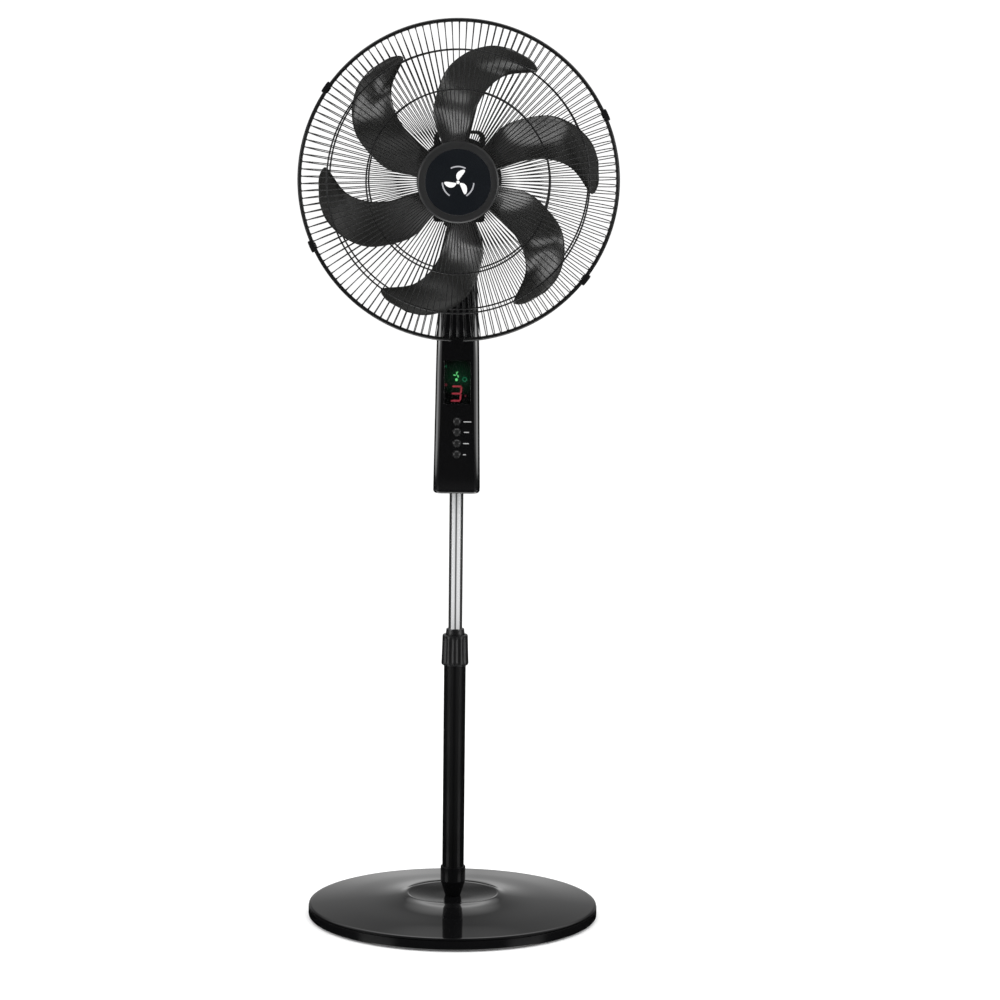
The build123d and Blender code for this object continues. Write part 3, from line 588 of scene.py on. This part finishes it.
def build_height_nut():
    """Grip nut with broad shallow flutes that run out before its two ends."""
    low, high, flutes, per_flute = 353.2, 395.4, 12, 16
    depth, hollow = 1.15, 1.4
    count = flutes * per_flute
    # Height, radius over the ribs, and how much of the flutes' depth there is
    levels = [(low, 17.0, 0.0), (low + 0.4, 17.6, 0.0), (low + 1.4, 18.4, 0.1), (low + 3.0, 18.7, 0.3),
              (low + 5.3, 18.6, 0.75), (low + 8.3, 18.4, 1.0), (low + 22.0, 18.0, 1.0),
              (high - 7.0, 17.6, 1.0), (high - 4.6, 17.55, 0.75), (high - 2.3, 17.5, 0.3),
              (high - 1.0, 17.3, 0.1), (high - 0.3, 16.9, 0.0), (high, 16.4, 0.0)]
    sections = []
    for z, r, share in levels:
        ring = []
        for k in range(count):
            wave = 0.5 + 0.5 * cos(2 * pi * k / per_flute)
            radius = r - depth * share * (1 - wave) ** hollow
            angle = 2 * pi * k / count
            ring.append((radius * cos(angle), radius * sin(angle), z))
        sections.append(ring)
    bore = ((13.5, high), (13.3, high - 0.2), (13.3, TUBE_TOP + 3.2), (15.1, TUBE_TOP + 3.2),
            (15.1, low + 0.3), (15.4, low))
    sections += [circle(radius, z, count) for radius, z in bore]
    verts, faces = loft(sections + [sections[0]])
    dress(make_piece("grip_nut", verts, faces[2:]), "height_nut", "satin_black", "height_nut")


# ---------------------------------------------------------------- control column
def half_width(z):
    """Half width of the column: a straight taper below, then a slow curve inwards."""
    wide, narrow, slope, curve = 31.8, 29.2, 0.01469, 0.0002066
    if z <= COLUMN_MIDDLE:
        return wide - (wide - narrow) * (z - COLUMN_BOTTOM) / (COLUMN_MIDDLE - COLUMN_BOTTOM)
    t = z - COLUMN_MIDDLE
    return narrow - slope * t - curve * t * t


def column_levels(by, foot_round, top_round):
    """Heights of the column's sections with how far each is drawn in, the ends rounded."""
    low, high = COLUMN_BOTTOM + by, COLUMN_TOP - by
    steps = 7
    levels = [(low + foot_round * (1 - cos(pi / 2 * k / steps)), foot_round * (1 - sin(pi / 2 * k / steps)))
              for k in range(steps + 1)]
    levels += [(z, 0.0) for z in range(620, 900, 12)]
    levels += [(high - top_round * (1 - cos(pi / 2 * k / steps)), top_round * (1 - sin(pi / 2 * k / steps)))
               for k in range(steps, -1, -1)]
    return [(z, by + more) for z, more in levels]


def column_solid(by, front, foot_round=5.0, top_round=2.0):
    """Front or rear half of the column as a closed solid, drawn in by a distance."""
    sections = []
    corner = COLUMN_CORNER - by
    face, way = (COLUMN_FRONT, -1.0) if front else (COLUMN_BACK, 1.0)
    for z, drawn in column_levels(by, foot_round, top_round):
        a = half_width(min(max(z, COLUMN_BOTTOM), COLUMN_TOP)) - drawn
        y = face - way * (by + 0.6 * (drawn - by))
        right = [(a, COLUMN_SPLIT), (a, (COLUMN_SPLIT + y - way * corner) / 2)]
        for k in range(11):
            angle = pi / 2 * k / 10
            right.append((a - corner + corner * cos(angle), y - way * corner + way * corner * sin(angle)))
        loop = right + [(-x, v) for x, v in reversed(right)]
        sections.append([(x, v, z) for x, v in loop])
    return loft(sections)


def cavity():
    """Room inside the column: both halves' inner solids share their plane, so each is stretched over it."""
    parts = []
    for front in (True, False):
        verts, faces = column_solid(COLUMN_WALL, front, 3.0, 1.0)
        shift = 0.6 if front else -0.6
        parts.append(([(x, y + shift * (abs(y - COLUMN_SPLIT) < 1e-6), z) for x, y, z in verts], faces))
    return parts


def post(radius, length):
    return disc(radius, 0.0, length, 48, 0.01)


def build_column():
    front = make_piece("column_face", *column_solid(0.0, True))
    opening = bar_outline(-LENS_HALF - 0.1, LENS_LOW - 0.1, LENS_HALF + 0.1, LENS_HIGH + 0.1, 1.6)
    window = facing(slab(opening, 0, 6, 0.01), COLUMN_FRONT + 4.5)
    top_slot = slab(bar_outline(-15, -16, 15, 20, 2.0), COLUMN_TOP - 6, COLUMN_TOP + 5, 0.01)
    tube_way = placed(post(9.8, 12.0), Matrix.Translation((0, 0, COLUMN_BOTTOM - 6)))
    holes = [lying(post(BUTTON_R + 0.15, 8.0), 0, COLUMN_FRONT - 2, z) for z in BUTTON_HEIGHTS.values()]
    inner_front, inner_rear = cavity()
    carve(front, [inner_front, window, top_slot, tube_way, *holes], 30.0)
    bevel(front, 0.22)
    dress(front, "column", "gloss_black", "column_front_cover")

    rear = make_piece("column_back", *column_solid(0.0, False))
    sinks = [lying(post(3.3, 12.0), x, COLUMN_BACK - 8, z) for x, z in BOSS_SPOTS]
    cord_way = lying(post(6.05, 12.0), 0, COLUMN_BACK - 8, CORD_HEIGHT)
    carve(rear, [inner_rear, top_slot, tube_way, cord_way, *sinks], 30.0)
    bevel(rear, 0.22)
    dress(rear, "column", "gloss_black", "column_rear_cover")
    wells = lathe([(1.8, 0.0), (4.4, 0.0), (4.4, 22.0), (3.3, 22.0), (3.3, 6.0), (1.8, 6.0)], 40)
    parts = merged([lying(wells, x, COLUMN_SPLIT, z) for x, z in BOSS_SPOTS])
    dress(make_piece("screw_wells", *parts), "column", "gloss_black")


def build_buttons():
    cap = rounded([(0, 1.2), (2.4, 1.1, 1.5), (3.9, 0.55, 1.2), (4.4, 0.0, 0.5), (BUTTON_R, 0.0, 0.8),
                   (BUTTON_R, 3.4), (6.5, 3.4), (6.5, 4.8), (0, 4.8)], 0.2, 6)
    cap = [(r, max(d, 0.0)) for r, d in cap]
    for name, z in BUTTON_HEIGHTS.items():
        part = lying(lathe(cap, 64), 0, COLUMN_FRONT - 0.8, z)
        dress(make_piece(name + "_cap", *part, sharp=40.0), name, "button_black", name)


def build_prints():
    """Small plain marks beside the buttons, where the lettering is left out."""
    marks = {"power_button": (8.6, 19.6), "speed_button": (9.4, 16.4), "swing_button": (8.6, 16.4),
             "timer_button": (8.6, 12.8)}
    parts = []
    for name, (x0, x1) in marks.items():
        z = BUTTON_HEIGHTS[name] - 0.6
        bar = slab(bar_outline(x0, -0.65, x1, 0.65, 0.6, 4), 0.0, 0.06, 0.02)
        parts.append(facing(bar, COLUMN_FRONT + 0.01, z))
    dress(make_piece("button_marks", *merged(parts)), "column", "printed_pale")


def build_display():
    pane = slab(bar_outline(-LENS_HALF, LENS_LOW, LENS_HALF, LENS_HIGH, 1.5), -2.2, 0.0, 0.25)
    window = make_piece("display_window", *facing(pane, COLUMN_FRONT))
    dress(window, "column", "smoked_lens", "display_lens")


def build_digit():
    """Seven-bar digit: the two bars at its left are dark."""
    middle_x, middle_z, half_w, half_h, thick = -1.5, 730.0, 7.5, 11.0, 2.4
    tip = thick / 2
    flat = [(-half_w + 1.0, -tip / 2), (-half_w + 2.1, tip), (half_w - 2.1, tip), (half_w - 1.0, tip / 2),
            (half_w - 2.1, -tip), (-half_w + 2.1, -tip)]
    level = [[(x, z + up) for x, z in flat] for up in (half_h - tip, 0.0, -half_h + tip)]
    tall = half_h - tip
    stand = [(-tip, 1.3), (0, 0.4), (tip, 1.3), (tip, tall - 1.3), (0, tall - 0.4), (-tip, tall - 1.3)]
    sides = [[(x + side, z + up) for x, z in stand]
             for side in (-half_w + tip, half_w - tip) for up in (0.0, -tall)]
    lit = level + sides[2:]
    slant = 0.09
    for name, bars, material in (("digit_lit_bars", lit, "lit_red"),
                                 ("digit_dark_bars", sides[:2], "display_red")):
        outlines = [[(middle_x + x + slant * z, z) for x, z in bar] for bar in bars]
        parts = [facing(slab(outline, -0.6, 0.0, 0.05), COLUMN_FRONT + 2.5, middle_z)
                 for outline in outlines]
        piece = dress(make_piece(name, *merged(parts)), "column", material)
    block = slab(bar_outline(-11.5, 716.5, 8.5, 743.5, 0.8), -5.4, -0.7, 0.2)
    part = facing(block, COLUMN_FRONT + 2.4)
    dress(make_piece("digit_block", *part), "column", "display_red", "display_digit")


def petal(length, width, lean, turn):
    """One blade of the fan pictogram as a swept drop."""
    points = []
    for k in range(28):
        t = 2 * pi * k / 28
        along = 0.5 - 0.5 * cos(t)
        x = width * sin(t) * (0.35 + 0.65 * along) + lean * along * along
        y = length * (0.16 + 0.84 * along)
        points.append((x * cos(turn) - y * sin(turn), x * sin(turn) + y * cos(turn)))
    return points


def fan_mark(size, low, high):
    """Plain pictogram of a three-blade fan."""
    blades = [slab(petal(size, 0.36 * size, 0.42 * size, 2 * pi * k / 3), low, high, 0.03, 1)
              for k in range(3)]
    return merged(blades + [disc(0.13 * size, low, high, 24, 0.03)])


def build_indicators():
    """Lit symbols behind the window: a fan, a dot, a ring, and two spots of stray light."""
    at = COLUMN_FRONT + 2.7
    bright = [facing(placed(symbol, Matrix.Translation((-1.3, 0.0, 0.0))), at, z)
              for symbol, z in ((fan_mark(4.2, -0.5, 0.0), 755.8), (disc(1.9, -0.5, 0.0, 24), 748.9))]
    piece = make_piece("symbols_bright", *merged(bright))
    dress(piece, "column", "lit_green", "indicator_leds")
    ring = placed(pipe(circle(2.7, 0, 40), 0.65, 8, True), Matrix.Translation((9.8, 0.0, -0.6)))
    small = placed(fan_mark(1.9, -0.5, 0.0), Matrix.Translation((-15.6, 17.4, 0.0)))
    faint = [facing(ring, at, 749.4), facing(small, at, 749.4)]
    weak = dress(make_piece("symbols_faint", *merged(faint)), "column", "faint_green")
    spots = [placed(disc(r, -0.5, 0.0, 24), Matrix.Translation((x, z, 0)))
             for x, z, r in ((-15.5, 741.8, 2.0), (11.0, 727.0, 1.5))]
    stray = dress(make_piece("symbols_stray", *facing(merged(spots), at)), "column", "faint_red")


def build_cord_inlet():
    ring = rounded([(3.5, -1.5), (8.0, -1.5), (8.0, 0), (5.95, 0), (5.95, 2.5), (8.0, 2.5), (8.0, 4.0),
                    (6.6, 4.6), (6.6, 5.4), (6.0, 5.4), (6.0, 6.2), (5.4, 6.2), (5.2, 7.5), (3.5, 7.5)],
                   0.25, 3)
    part = lying(lathe(ring, 64), 0, COLUMN_BACK - COLUMN_WALL, CORD_HEIGHT)
    dress(make_piece("inlet_grommet", *part), "column", "rubber_feet", "cord_inlet")


# ---------------------------------------------------------------- cage
def wire_path(corners):
    """Centre line of one cage wire, with the bend between its two straight runs."""
    (r0, z0), (r1, z1), (r2, z2) = corners
    corner = Vector((r1, z1))
    back, ahead = Vector((r0, z0)) - corner, Vector((r2, z2)) - corner
    half = back.angle(ahead) / 2
    reach = WIRE_BEND * cos(half) / sin(half)
    start, end = corner + back.normalized() * reach, corner + ahead.normalized() * reach
    centre = corner + (back.normalized() + ahead.normalized()).normalized() * (WIRE_BEND / sin(half))
    first = atan2(start.y - centre.y, start.x - centre.x)
    sweep = atan2(end.y - centre.y, end.x - centre.x) - first
    sweep = (sweep + pi) % (2 * pi) - pi
    angles = [first + sweep * k / 8 for k in range(9)]
    bend = [centre + Vector((cos(angle), sin(angle))) * WIRE_BEND for angle in angles]
    points = [Vector((r0, z0)), *bend, Vector((r2, z2))]
    return [(p.x, 0.0, p.y) for p in points]


def wire_height(corners, radius):
    (r0, z0), (r1, z1) = corners[:2]
    return z0 + (z1 - z0) * (radius - r0) / (r1 - r0)


def build_cage():
    offset = WIRE_R + SUPPORT_RING_R - WELD
    for name, corners, phase in (("front", FRONT_WIRE, FRONT_PHASE), ("rear", REAR_WIRE, REAR_PHASE)):
        wires = spun(pipe(wire_path(corners), WIRE_R, 10), WIRE_COUNT, phase)
        piece = make_piece(f"{name}_cage_wires", *in_head(wires), sharp=50.0)
        dress(piece, "head", "coated_wire", f"{name}_wires")
    inner_f = wire_height(FRONT_WIRE, INNER_RING) - WIRE_R - INNER_RING_R + WELD
    front = [support_ring(FRONT_WIRE, r, -offset) for r in SUPPORT_RINGS]
    front.append(pipe(circle(INNER_RING, inner_f, 96), INNER_RING_R, 12, True))
    front.append(pipe(circle(FRONT_RIM_R, FRONT_RIM_F, 256), FRONT_RIM_T, 20, True))
    rear = [support_ring(REAR_WIRE, r, offset) for r in SUPPORT_RINGS]
    rear.append(pipe(circle(REAR_RIM_R, REAR_RIM_F, 256), REAR_RIM_T, 20, True))
    for name, rings in (("front", front), ("rear", rear)):
        piece = make_piece(f"{name}_cage_rings", *in_head(merged(rings)), sharp=60.0)
        dress(piece, "head", "coated_wire", f"{name}_rings")


def support_ring(corners, radius, offset):
    return pipe(circle(radius, wire_height(corners, radius) + offset, 180), SUPPORT_RING_R, 10, True)


def build_clips():
    """Rim clips, each on a sleeve round the rear rim and midway between two rear wires."""
    gap = 360.0 / WIRE_COUNT
    to_rim = Matrix.Translation((REAR_RIM_R, 0, REAR_RIM_F))
    for name, clock in CLIP_ANGLES.items():
        steps = round((90.0 - clock - REAR_PHASE) / gap - 0.5) + 0.5
        turn = Matrix.Rotation(radians(REAR_PHASE + steps * gap), 4, "Z")
        parts = in_head(placed(merged([clip_hook(), clip_sleeve()]), turn @ to_rim))
        dress(make_piece(name + "_latch", *parts, sharp=40.0), name, "satin_black", name)


def clip_hook():
    """Back plate and hook over both rims, tapered to its ends, drawn about the rear rim's middle."""
    inner, half, steps = REAR_RIM_T + 0.3, 8.0, 8
    sections = []
    for k in range(-steps, steps + 1):
        thinned = abs(k / steps) ** 3
        outer = REAR_RIM_T + 2.5 - 1.1 * thinned
        outline = ((-2.4, 8.6), (-2.4, 9.6 - 0.4 * thinned), (-1.9, 10.3 - 0.7 * thinned),
                   (outer - 1.6, 10.6 - 0.8 * thinned), (outer - 0.5, 10.1 - 0.8 * thinned),
                   (outer, 9.0), (outer, -1.6), (outer - 0.5, -2.3), (inner + 0.5, -2.5),
                   (inner, -2.3), (inner, 8.6))
        sections.append([(x, half * sin(pi / 2 * k / steps), f) for x, f in outline])
    return loft(sections)


def clip_sleeve():
    """Open sleeve that turns on the rear rim."""
    inner, outer, half, steps = REAR_RIM_T + 0.08, REAR_RIM_T + 2.1, 3.3, 24
    start, sweep = 60.0, 200.0
    arc = [radians(start - sweep * k / steps) for k in range(steps + 1)]
    band = [(outer * cos(a), outer * sin(a)) for a in arc]
    band += [(inner * cos(a), inner * sin(a)) for a in reversed(arc)]
    return loft([[(x, side, f) for x, f in band] for side in (-half, half)])


def build_cap():
    ring = rounded([(40.0, 128.0), (44.0, 128.0), (44.0, 138.7), (53.6, 138.7, 0.5), (54.0, 141.1, 1.6),
                    (51.5, 142.5, 2.0), (47.0, 142.5, 1.5), (43.5, 142.0, 0.4), (43.5, 140.7),
                    (0, 140.7), (0, 138.7), (40.0, 138.7)], 0.2, 5)
    dress(make_piece("cap_ring", *in_head(lathe(ring, 160)), sharp=30.0), "head", "cap_grey", "centre_cap")
    face, print_face = 142.3, 142.45
    plate = rounded([(0, 140.8), (43.4, 140.8), (43.4, face, 0.5), (0, face)], 0.1, 4)
    dress(make_piece("cap_plate", *in_head(lathe(plate, 128)), sharp=30.0), "head", "cap_navy", "cap_disc")
    emblem = fan_mark(16.5, face, print_face)
    dress(make_piece("cap_pictogram", *in_head(emblem)), "head", "printed_white")
    arcs = []
    for k in range(3):
        angles = [radians(62 + 120 * k + a) for a in range(0, 57, 4)]
        outline = [(21.5 * cos(a), 21.5 * sin(a)) for a in angles]
        outline += [(19.7 * cos(a), 19.7 * sin(a)) for a in reversed(angles)]
        arcs.append(slab(outline, face, print_face, 0.03, 1))
    dress(make_piece("cap_pictogram_arcs", *in_head(merged(arcs))), "head", "printed_grey")


# ---------------------------------------------------------------- impeller
def blade_loop(station, share):
    """Closed section across the blade; share thins it, for the rounded tip."""
    trail_r, trail_a, lead_r, lead_a, depth, camber, thick = station
    trail = Vector((trail_r * sin(radians(trail_a)), trail_r * cos(radians(trail_a))))
    lead = Vector((lead_r * sin(radians(lead_a)), lead_r * cos(radians(lead_a))))
    steps = 22
    upper, lower = [], []
    for k in range(steps + 1):
        u = -cos(pi * k / steps)
        flat = trail + (lead - trail) * (u + 1) / 2
        mean = BLADE_F - depth / 2 * u - camber * (1 - u * u)
        half = share * thick / 2 * sqrt(max(1 - u ** 8, 0.0)) + 0.02
        upper.append((flat.x, flat.y, mean + half))
        lower.append((flat.x, flat.y, mean - half))
    return upper + lower[::-1]


def blade():
    stations = through(BLADE_STATIONS, 5)
    sections = [blade_loop(station, 1.0) for station in stations]
    last = stations[-1]
    for out, share in ((0.35, 0.85), (0.62, 0.6), (0.78, 0.25)):
        edges = (last[0] + out, last[1] + 3 * out, last[2] + out, last[3] - 3 * out)
        sections.append(blade_loop((*edges, *last[4:]), share))
    return loft(sections)


def build_impeller():
    hub = rounded([(40.5, 64.0), (45.0, 64.0), (45.0, 110.0, 5.0), (43.0, 114.0, 3.0),
                   (38.0, 116.0, 3.0), (14.0, 116.0), (4.02, 116.0), (4.02, 84.0), (10.5, 84.0),
                   (10.5, 112.0), (40.5, 112.0)], 0.5, 6)
    parts = [lathe(hub, 128), spun(blade(), BLADE_COUNT)]
    dress(make_piece("fan_blades", *in_head(merged(parts)), sharp=45.0), "rotor", "blade_black", "impeller")


# ---------------------------------------------------------------- handle
def build_handle():
    """Arch over the motor with a window under it, softly rounded all over."""
    outer = bar_outline(-34.5, 20.0, 34.5, 65.5, 11.0, 8)
    arch = make_piece("handle_arch", *slab(outer, 18.0, 34.0, 2.2, 4))
    window = slab(bar_outline(-27.0, 0.0, 27.0, 61.0, 5.5, 8), 10.0, 40.0, 0.01, 1)
    motor = disc(50.1, 0.0, 60.0, 160, 0.01)
    carve(arch, [window, motor], 35.0)
    bevel(arch, 0.9, 3)
    shape = arch.data
    for vert in shape.vertices:
        x, y, f = vert.co
        vert.co = (x, -f, HEAD_Z * MM + y)
    shape.flip_normals()
    finish_mesh(arch, 35.0)
    dress(arch, "head", "satin_black", "carry_handle")


# ---------------------------------------------------------------- stage
def build_camera():
    camera = bpy.data.objects.new("camera", bpy.data.cameras.new("camera"))
    bpy.context.scene.collection.objects.link(camera)
    camera.data.sensor_width, camera.data.lens = 36.0, CAMERA_LENS
    camera.data.clip_end = 200.0
    camera.matrix_world = (Matrix.Translation(CAMERA_AT) @ Matrix.Rotation(radians(90 - CAMERA_DOWN), 4, "X")
                           @ Matrix.Rotation(radians(CAMERA_ROLL), 4, "Z"))
    bpy.context.scene.camera = camera


def build_floor():
    mesh = bpy.data.meshes.new("studio_floor")
    corners = [(x * FLOOR_REACH, y * FLOOR_REACH, 0) for x, y in ((-1, -1), (1, -1), (1, 1), (-1, 1))]
    mesh.from_pydata(corners, [], [(0, 1, 2, 3)])
    floor = bpy.data.objects.new("studio_floor", mesh)
    bpy.context.scene.collection.objects.link(floor)
    floor.location.z = CAD_BOX[0].z - FLOOR_GAP
    mesh.materials.append(make_floor_material())
    floor.visible_glossy = False


def area_light(name, place, aim, size, power):
    data = bpy.data.lights.new(name, "AREA")
    data.shape, data.size, data.size_y, data.energy = "RECTANGLE", size[0], size[1], power
    lamp = bpy.data.objects.new(name, data)
    bpy.context.scene.collection.objects.link(lamp)
    lamp.location = place
    lamp.rotation_euler = (Vector(aim) - Vector(place)).to_track_quat("-Z", "Y").to_euler()
    lamp.visible_camera = False
    lamp.visible_glossy = False


def build_lights():
    """Two tall soft boxes in front of the fan, left and right, and a light above it."""
    for name, side in (("soft_box_left", -1.0), ("soft_box_right", 1.0)):
        area_light(name, (side * 1.9, -1.05, 1.0), (0, 0, 0.8), (0.9, 1.5), SOFT_BOX_WATTS)
    area_light("top_light", (0, -0.4, 3.2), (0, 0, 0), (2.6, 2.6), TOP_LIGHT_WATTS)


def ramp(nodes, links, value, stops):
    """Grey levels at places along a value from 0 to 1."""
    node = nodes.new("ShaderNodeValToRGB")
    elements = node.color_ramp.elements
    elements[0].position, elements[1].position = stops[0][0], stops[-1][0]
    elements[0].color, elements[1].color = [(grey, grey, grey, 1) for grey in (stops[0][1], stops[-1][1])]
    for place, grey in stops[1:-1]:
        elements.new(place).color = (grey, grey, grey, 1)
    links.new(value, node.inputs["Fac"])
    return node.outputs["Color"]


def math(nodes, links, operation, a, b=None):
    node = nodes.new("ShaderNodeMath")
    node.operation = operation
    for socket, value in zip(node.inputs, (a, b)):
        if isinstance(value, (int, float)):
            socket.default_value = value
        elif value is not None:
            links.new(value, socket)
    return node.outputs[0]


def shifted(nodes, links, value, low, high):
    """A value between two bounds as 0 to 1."""
    return spread(nodes, links, value, 0.0, 1.0, low, high)


def combined(nodes, links, operation, first, *others):
    """Several values added or multiplied, one after another."""
    for other in others:
        first = math(nodes, links, operation, first, other)
    return first


def mixed(nodes, links, share, a, b):
    """Colour from a to b; a plain number stands for a grey."""
    node = nodes.new("ShaderNodeMix")
    node.data_type = "RGBA"
    links.new(share, node.inputs["Factor"])
    for name, value in (("A", a), ("B", b)):
        if isinstance(value, float):
            node.inputs[name].default_value = (value, value, value, 1)
        else:
            links.new(value, node.inputs[name])
    return node.outputs["Result"]


def directions(nodes, links):
    """Where a ray goes: turn from 0 (in front of the fan) to 1 (behind it), and the sine of its rise."""
    place = nodes.new("ShaderNodeTexCoord")
    split = nodes.new("ShaderNodeSeparateXYZ")
    links.new(place.outputs["Generated"], split.inputs[0])
    across = math(nodes, links, "ABSOLUTE", split.outputs["X"])
    ahead = math(nodes, links, "MULTIPLY", split.outputs["Y"], -1.0)
    turn = math(nodes, links, "DIVIDE", math(nodes, links, "ARCTAN2", across, ahead), pi)
    return turn, split.outputs["Z"]


def studio_walls(nodes, links, turn, rise):
    """Walls below the horizon, bright in a narrow band and almost dark above it."""
    walls = ramp(nodes, links, turn,
                 ((0.0, 0.12), (0.05, 0.15), (0.11, 0.9), (0.40, 0.9), (0.46, 0.05), (1.0, 0.04)))
    band = ramp(nodes, links, shifted(nodes, links, rise, -0.50, -0.14),
                ((0.0, 0.5), (0.4, 0.5), (0.58, 0.05), (0.75, 0.05), (0.86, 0.12), (0.90, 0.25),
                 (0.93, 1.0), (1.0, 1.0)))
    edge = ramp(nodes, links, shifted(nodes, links, rise, -0.1285, -0.1265), ((0.0, 1.0), (1.0, 0.12)))
    return combined(nodes, links, "MULTIPLY", walls, band, edge)


def studio_boxes(nodes, links, turn, rise):
    boxes = ramp(nodes, links, turn,
                 ((0.0, 0.0), (0.04, 0.0), (0.10, 0.2), (0.26, 0.3), (0.31, 1.0), (0.50, 1.0),
                  (0.57, 0.0), (1.0, 0.0)))
    level = ramp(nodes, links, shifted(nodes, links, rise, -0.13, -0.02),
                 ((0.0, 0.0), (0.18, 0.0), (0.25, 1.0), (0.70, 1.0), (0.85, 0.0), (1.0, 0.0)))
    return combined(nodes, links, "MULTIPLY", boxes, level, BOX_GLOW)


def studio_windows(nodes, links, turn, rise):
    sides = ramp(nodes, links, turn,
                 ((0.0, 0.0), (0.24, 0.0), (0.28, 1.0), (0.41, 1.0), (0.45, 0.0), (1.0, 0.0)))
    rows = ramp(nodes, links, shifted(nodes, links, rise, -0.40, 0.30),
                ((0.0, 0.0), (0.04, 0.0), (0.07, 1.0), (0.185, 1.0), (0.205, 0.0), (0.47, 0.0),
                 (0.50, 1.0), (0.80, 1.0), (0.93, 0.0), (1.0, 0.0)))
    return combined(nodes, links, "MULTIPLY", sides, rows, SIDE_GLOW)


def studio_ground(nodes, links, rise):
    ground = ramp(nodes, links, shifted(nodes, links, rise, -1.0, -0.8),
                  ((0.0, 1.0), (0.75, 1.0), (1.0, 0.0)))
    return math(nodes, links, "MULTIPLY", ground, GROUND_GLOW)


def studio_sky(nodes, links, turn, rise):
    """Above the horizon: brighter behind the fan, and brightest some 37 degrees up."""
    around = ramp(nodes, links, turn, ((0.0, 0.16), (0.05, 0.16), (0.2, 0.5), (0.6, 0.7), (0.97, 1.0),
                                       (0.987, 1.0), (1.0, 0.72)))
    height = ramp(nodes, links, rise, ((0.0, 0.30), (0.08, 0.30), (0.16, 0.20), (0.25, 0.12),
                                       (0.40, 0.09), (0.50, 0.34), (0.60, 0.9), (0.75, 0.6), (1.0, 0.19)))
    return combined(nodes, links, "MULTIPLY", around, height, SKY_GLOW)


def build_world():
    """White room for the camera and matt surfaces; gloss sees a darker studio with bright parts."""
    world = bpy.data.worlds.new("studio")
    world.use_nodes = True
    bpy.context.scene.world = world
    nodes, links = world.node_tree.nodes, world.node_tree.links
    turn, rise = directions(nodes, links)
    below = combined(nodes, links, "ADD", studio_walls(nodes, links, turn, rise),
                     studio_boxes(nodes, links, turn, rise), studio_ground(nodes, links, rise))
    horizon = shifted(nodes, links, rise, -0.04, 0.03)
    room = mixed(nodes, links, horizon, below, studio_sky(nodes, links, turn, rise))
    studio = math(nodes, links, "ADD", room, studio_windows(nodes, links, turn, rise))
    ray = nodes.new("ShaderNodeLightPath")
    seen = mixed(nodes, links, ray.outputs["Is Glossy Ray"], ROOM_WHITE, studio)
    links.new(seen, nodes["Background"].inputs["Color"])
    bpy.context.scene.view_settings.view_transform = "Standard"


# ---------------------------------------------------------------- build
IMPORTED = {node.name: node.material_slots[0].material.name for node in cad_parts.values()}
for imported in list(bpy.data.materials):
    imported.name = "cad_" + imported.name
MATERIALS = make_materials()
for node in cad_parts.values():
    node.material_slots[0].material = MATERIALS[IMPORTED[node.name]]

build_camera()
build_foot()
build_pole_collar()
build_poles()
build_height_nut()
build_column()
build_buttons()
build_prints()
build_display()
build_digit()
build_indicators()
build_cord_inlet()
build_cage()
build_clips()
build_cap()
build_impeller()
build_handle()
build_floor()
build_lights()
build_world()
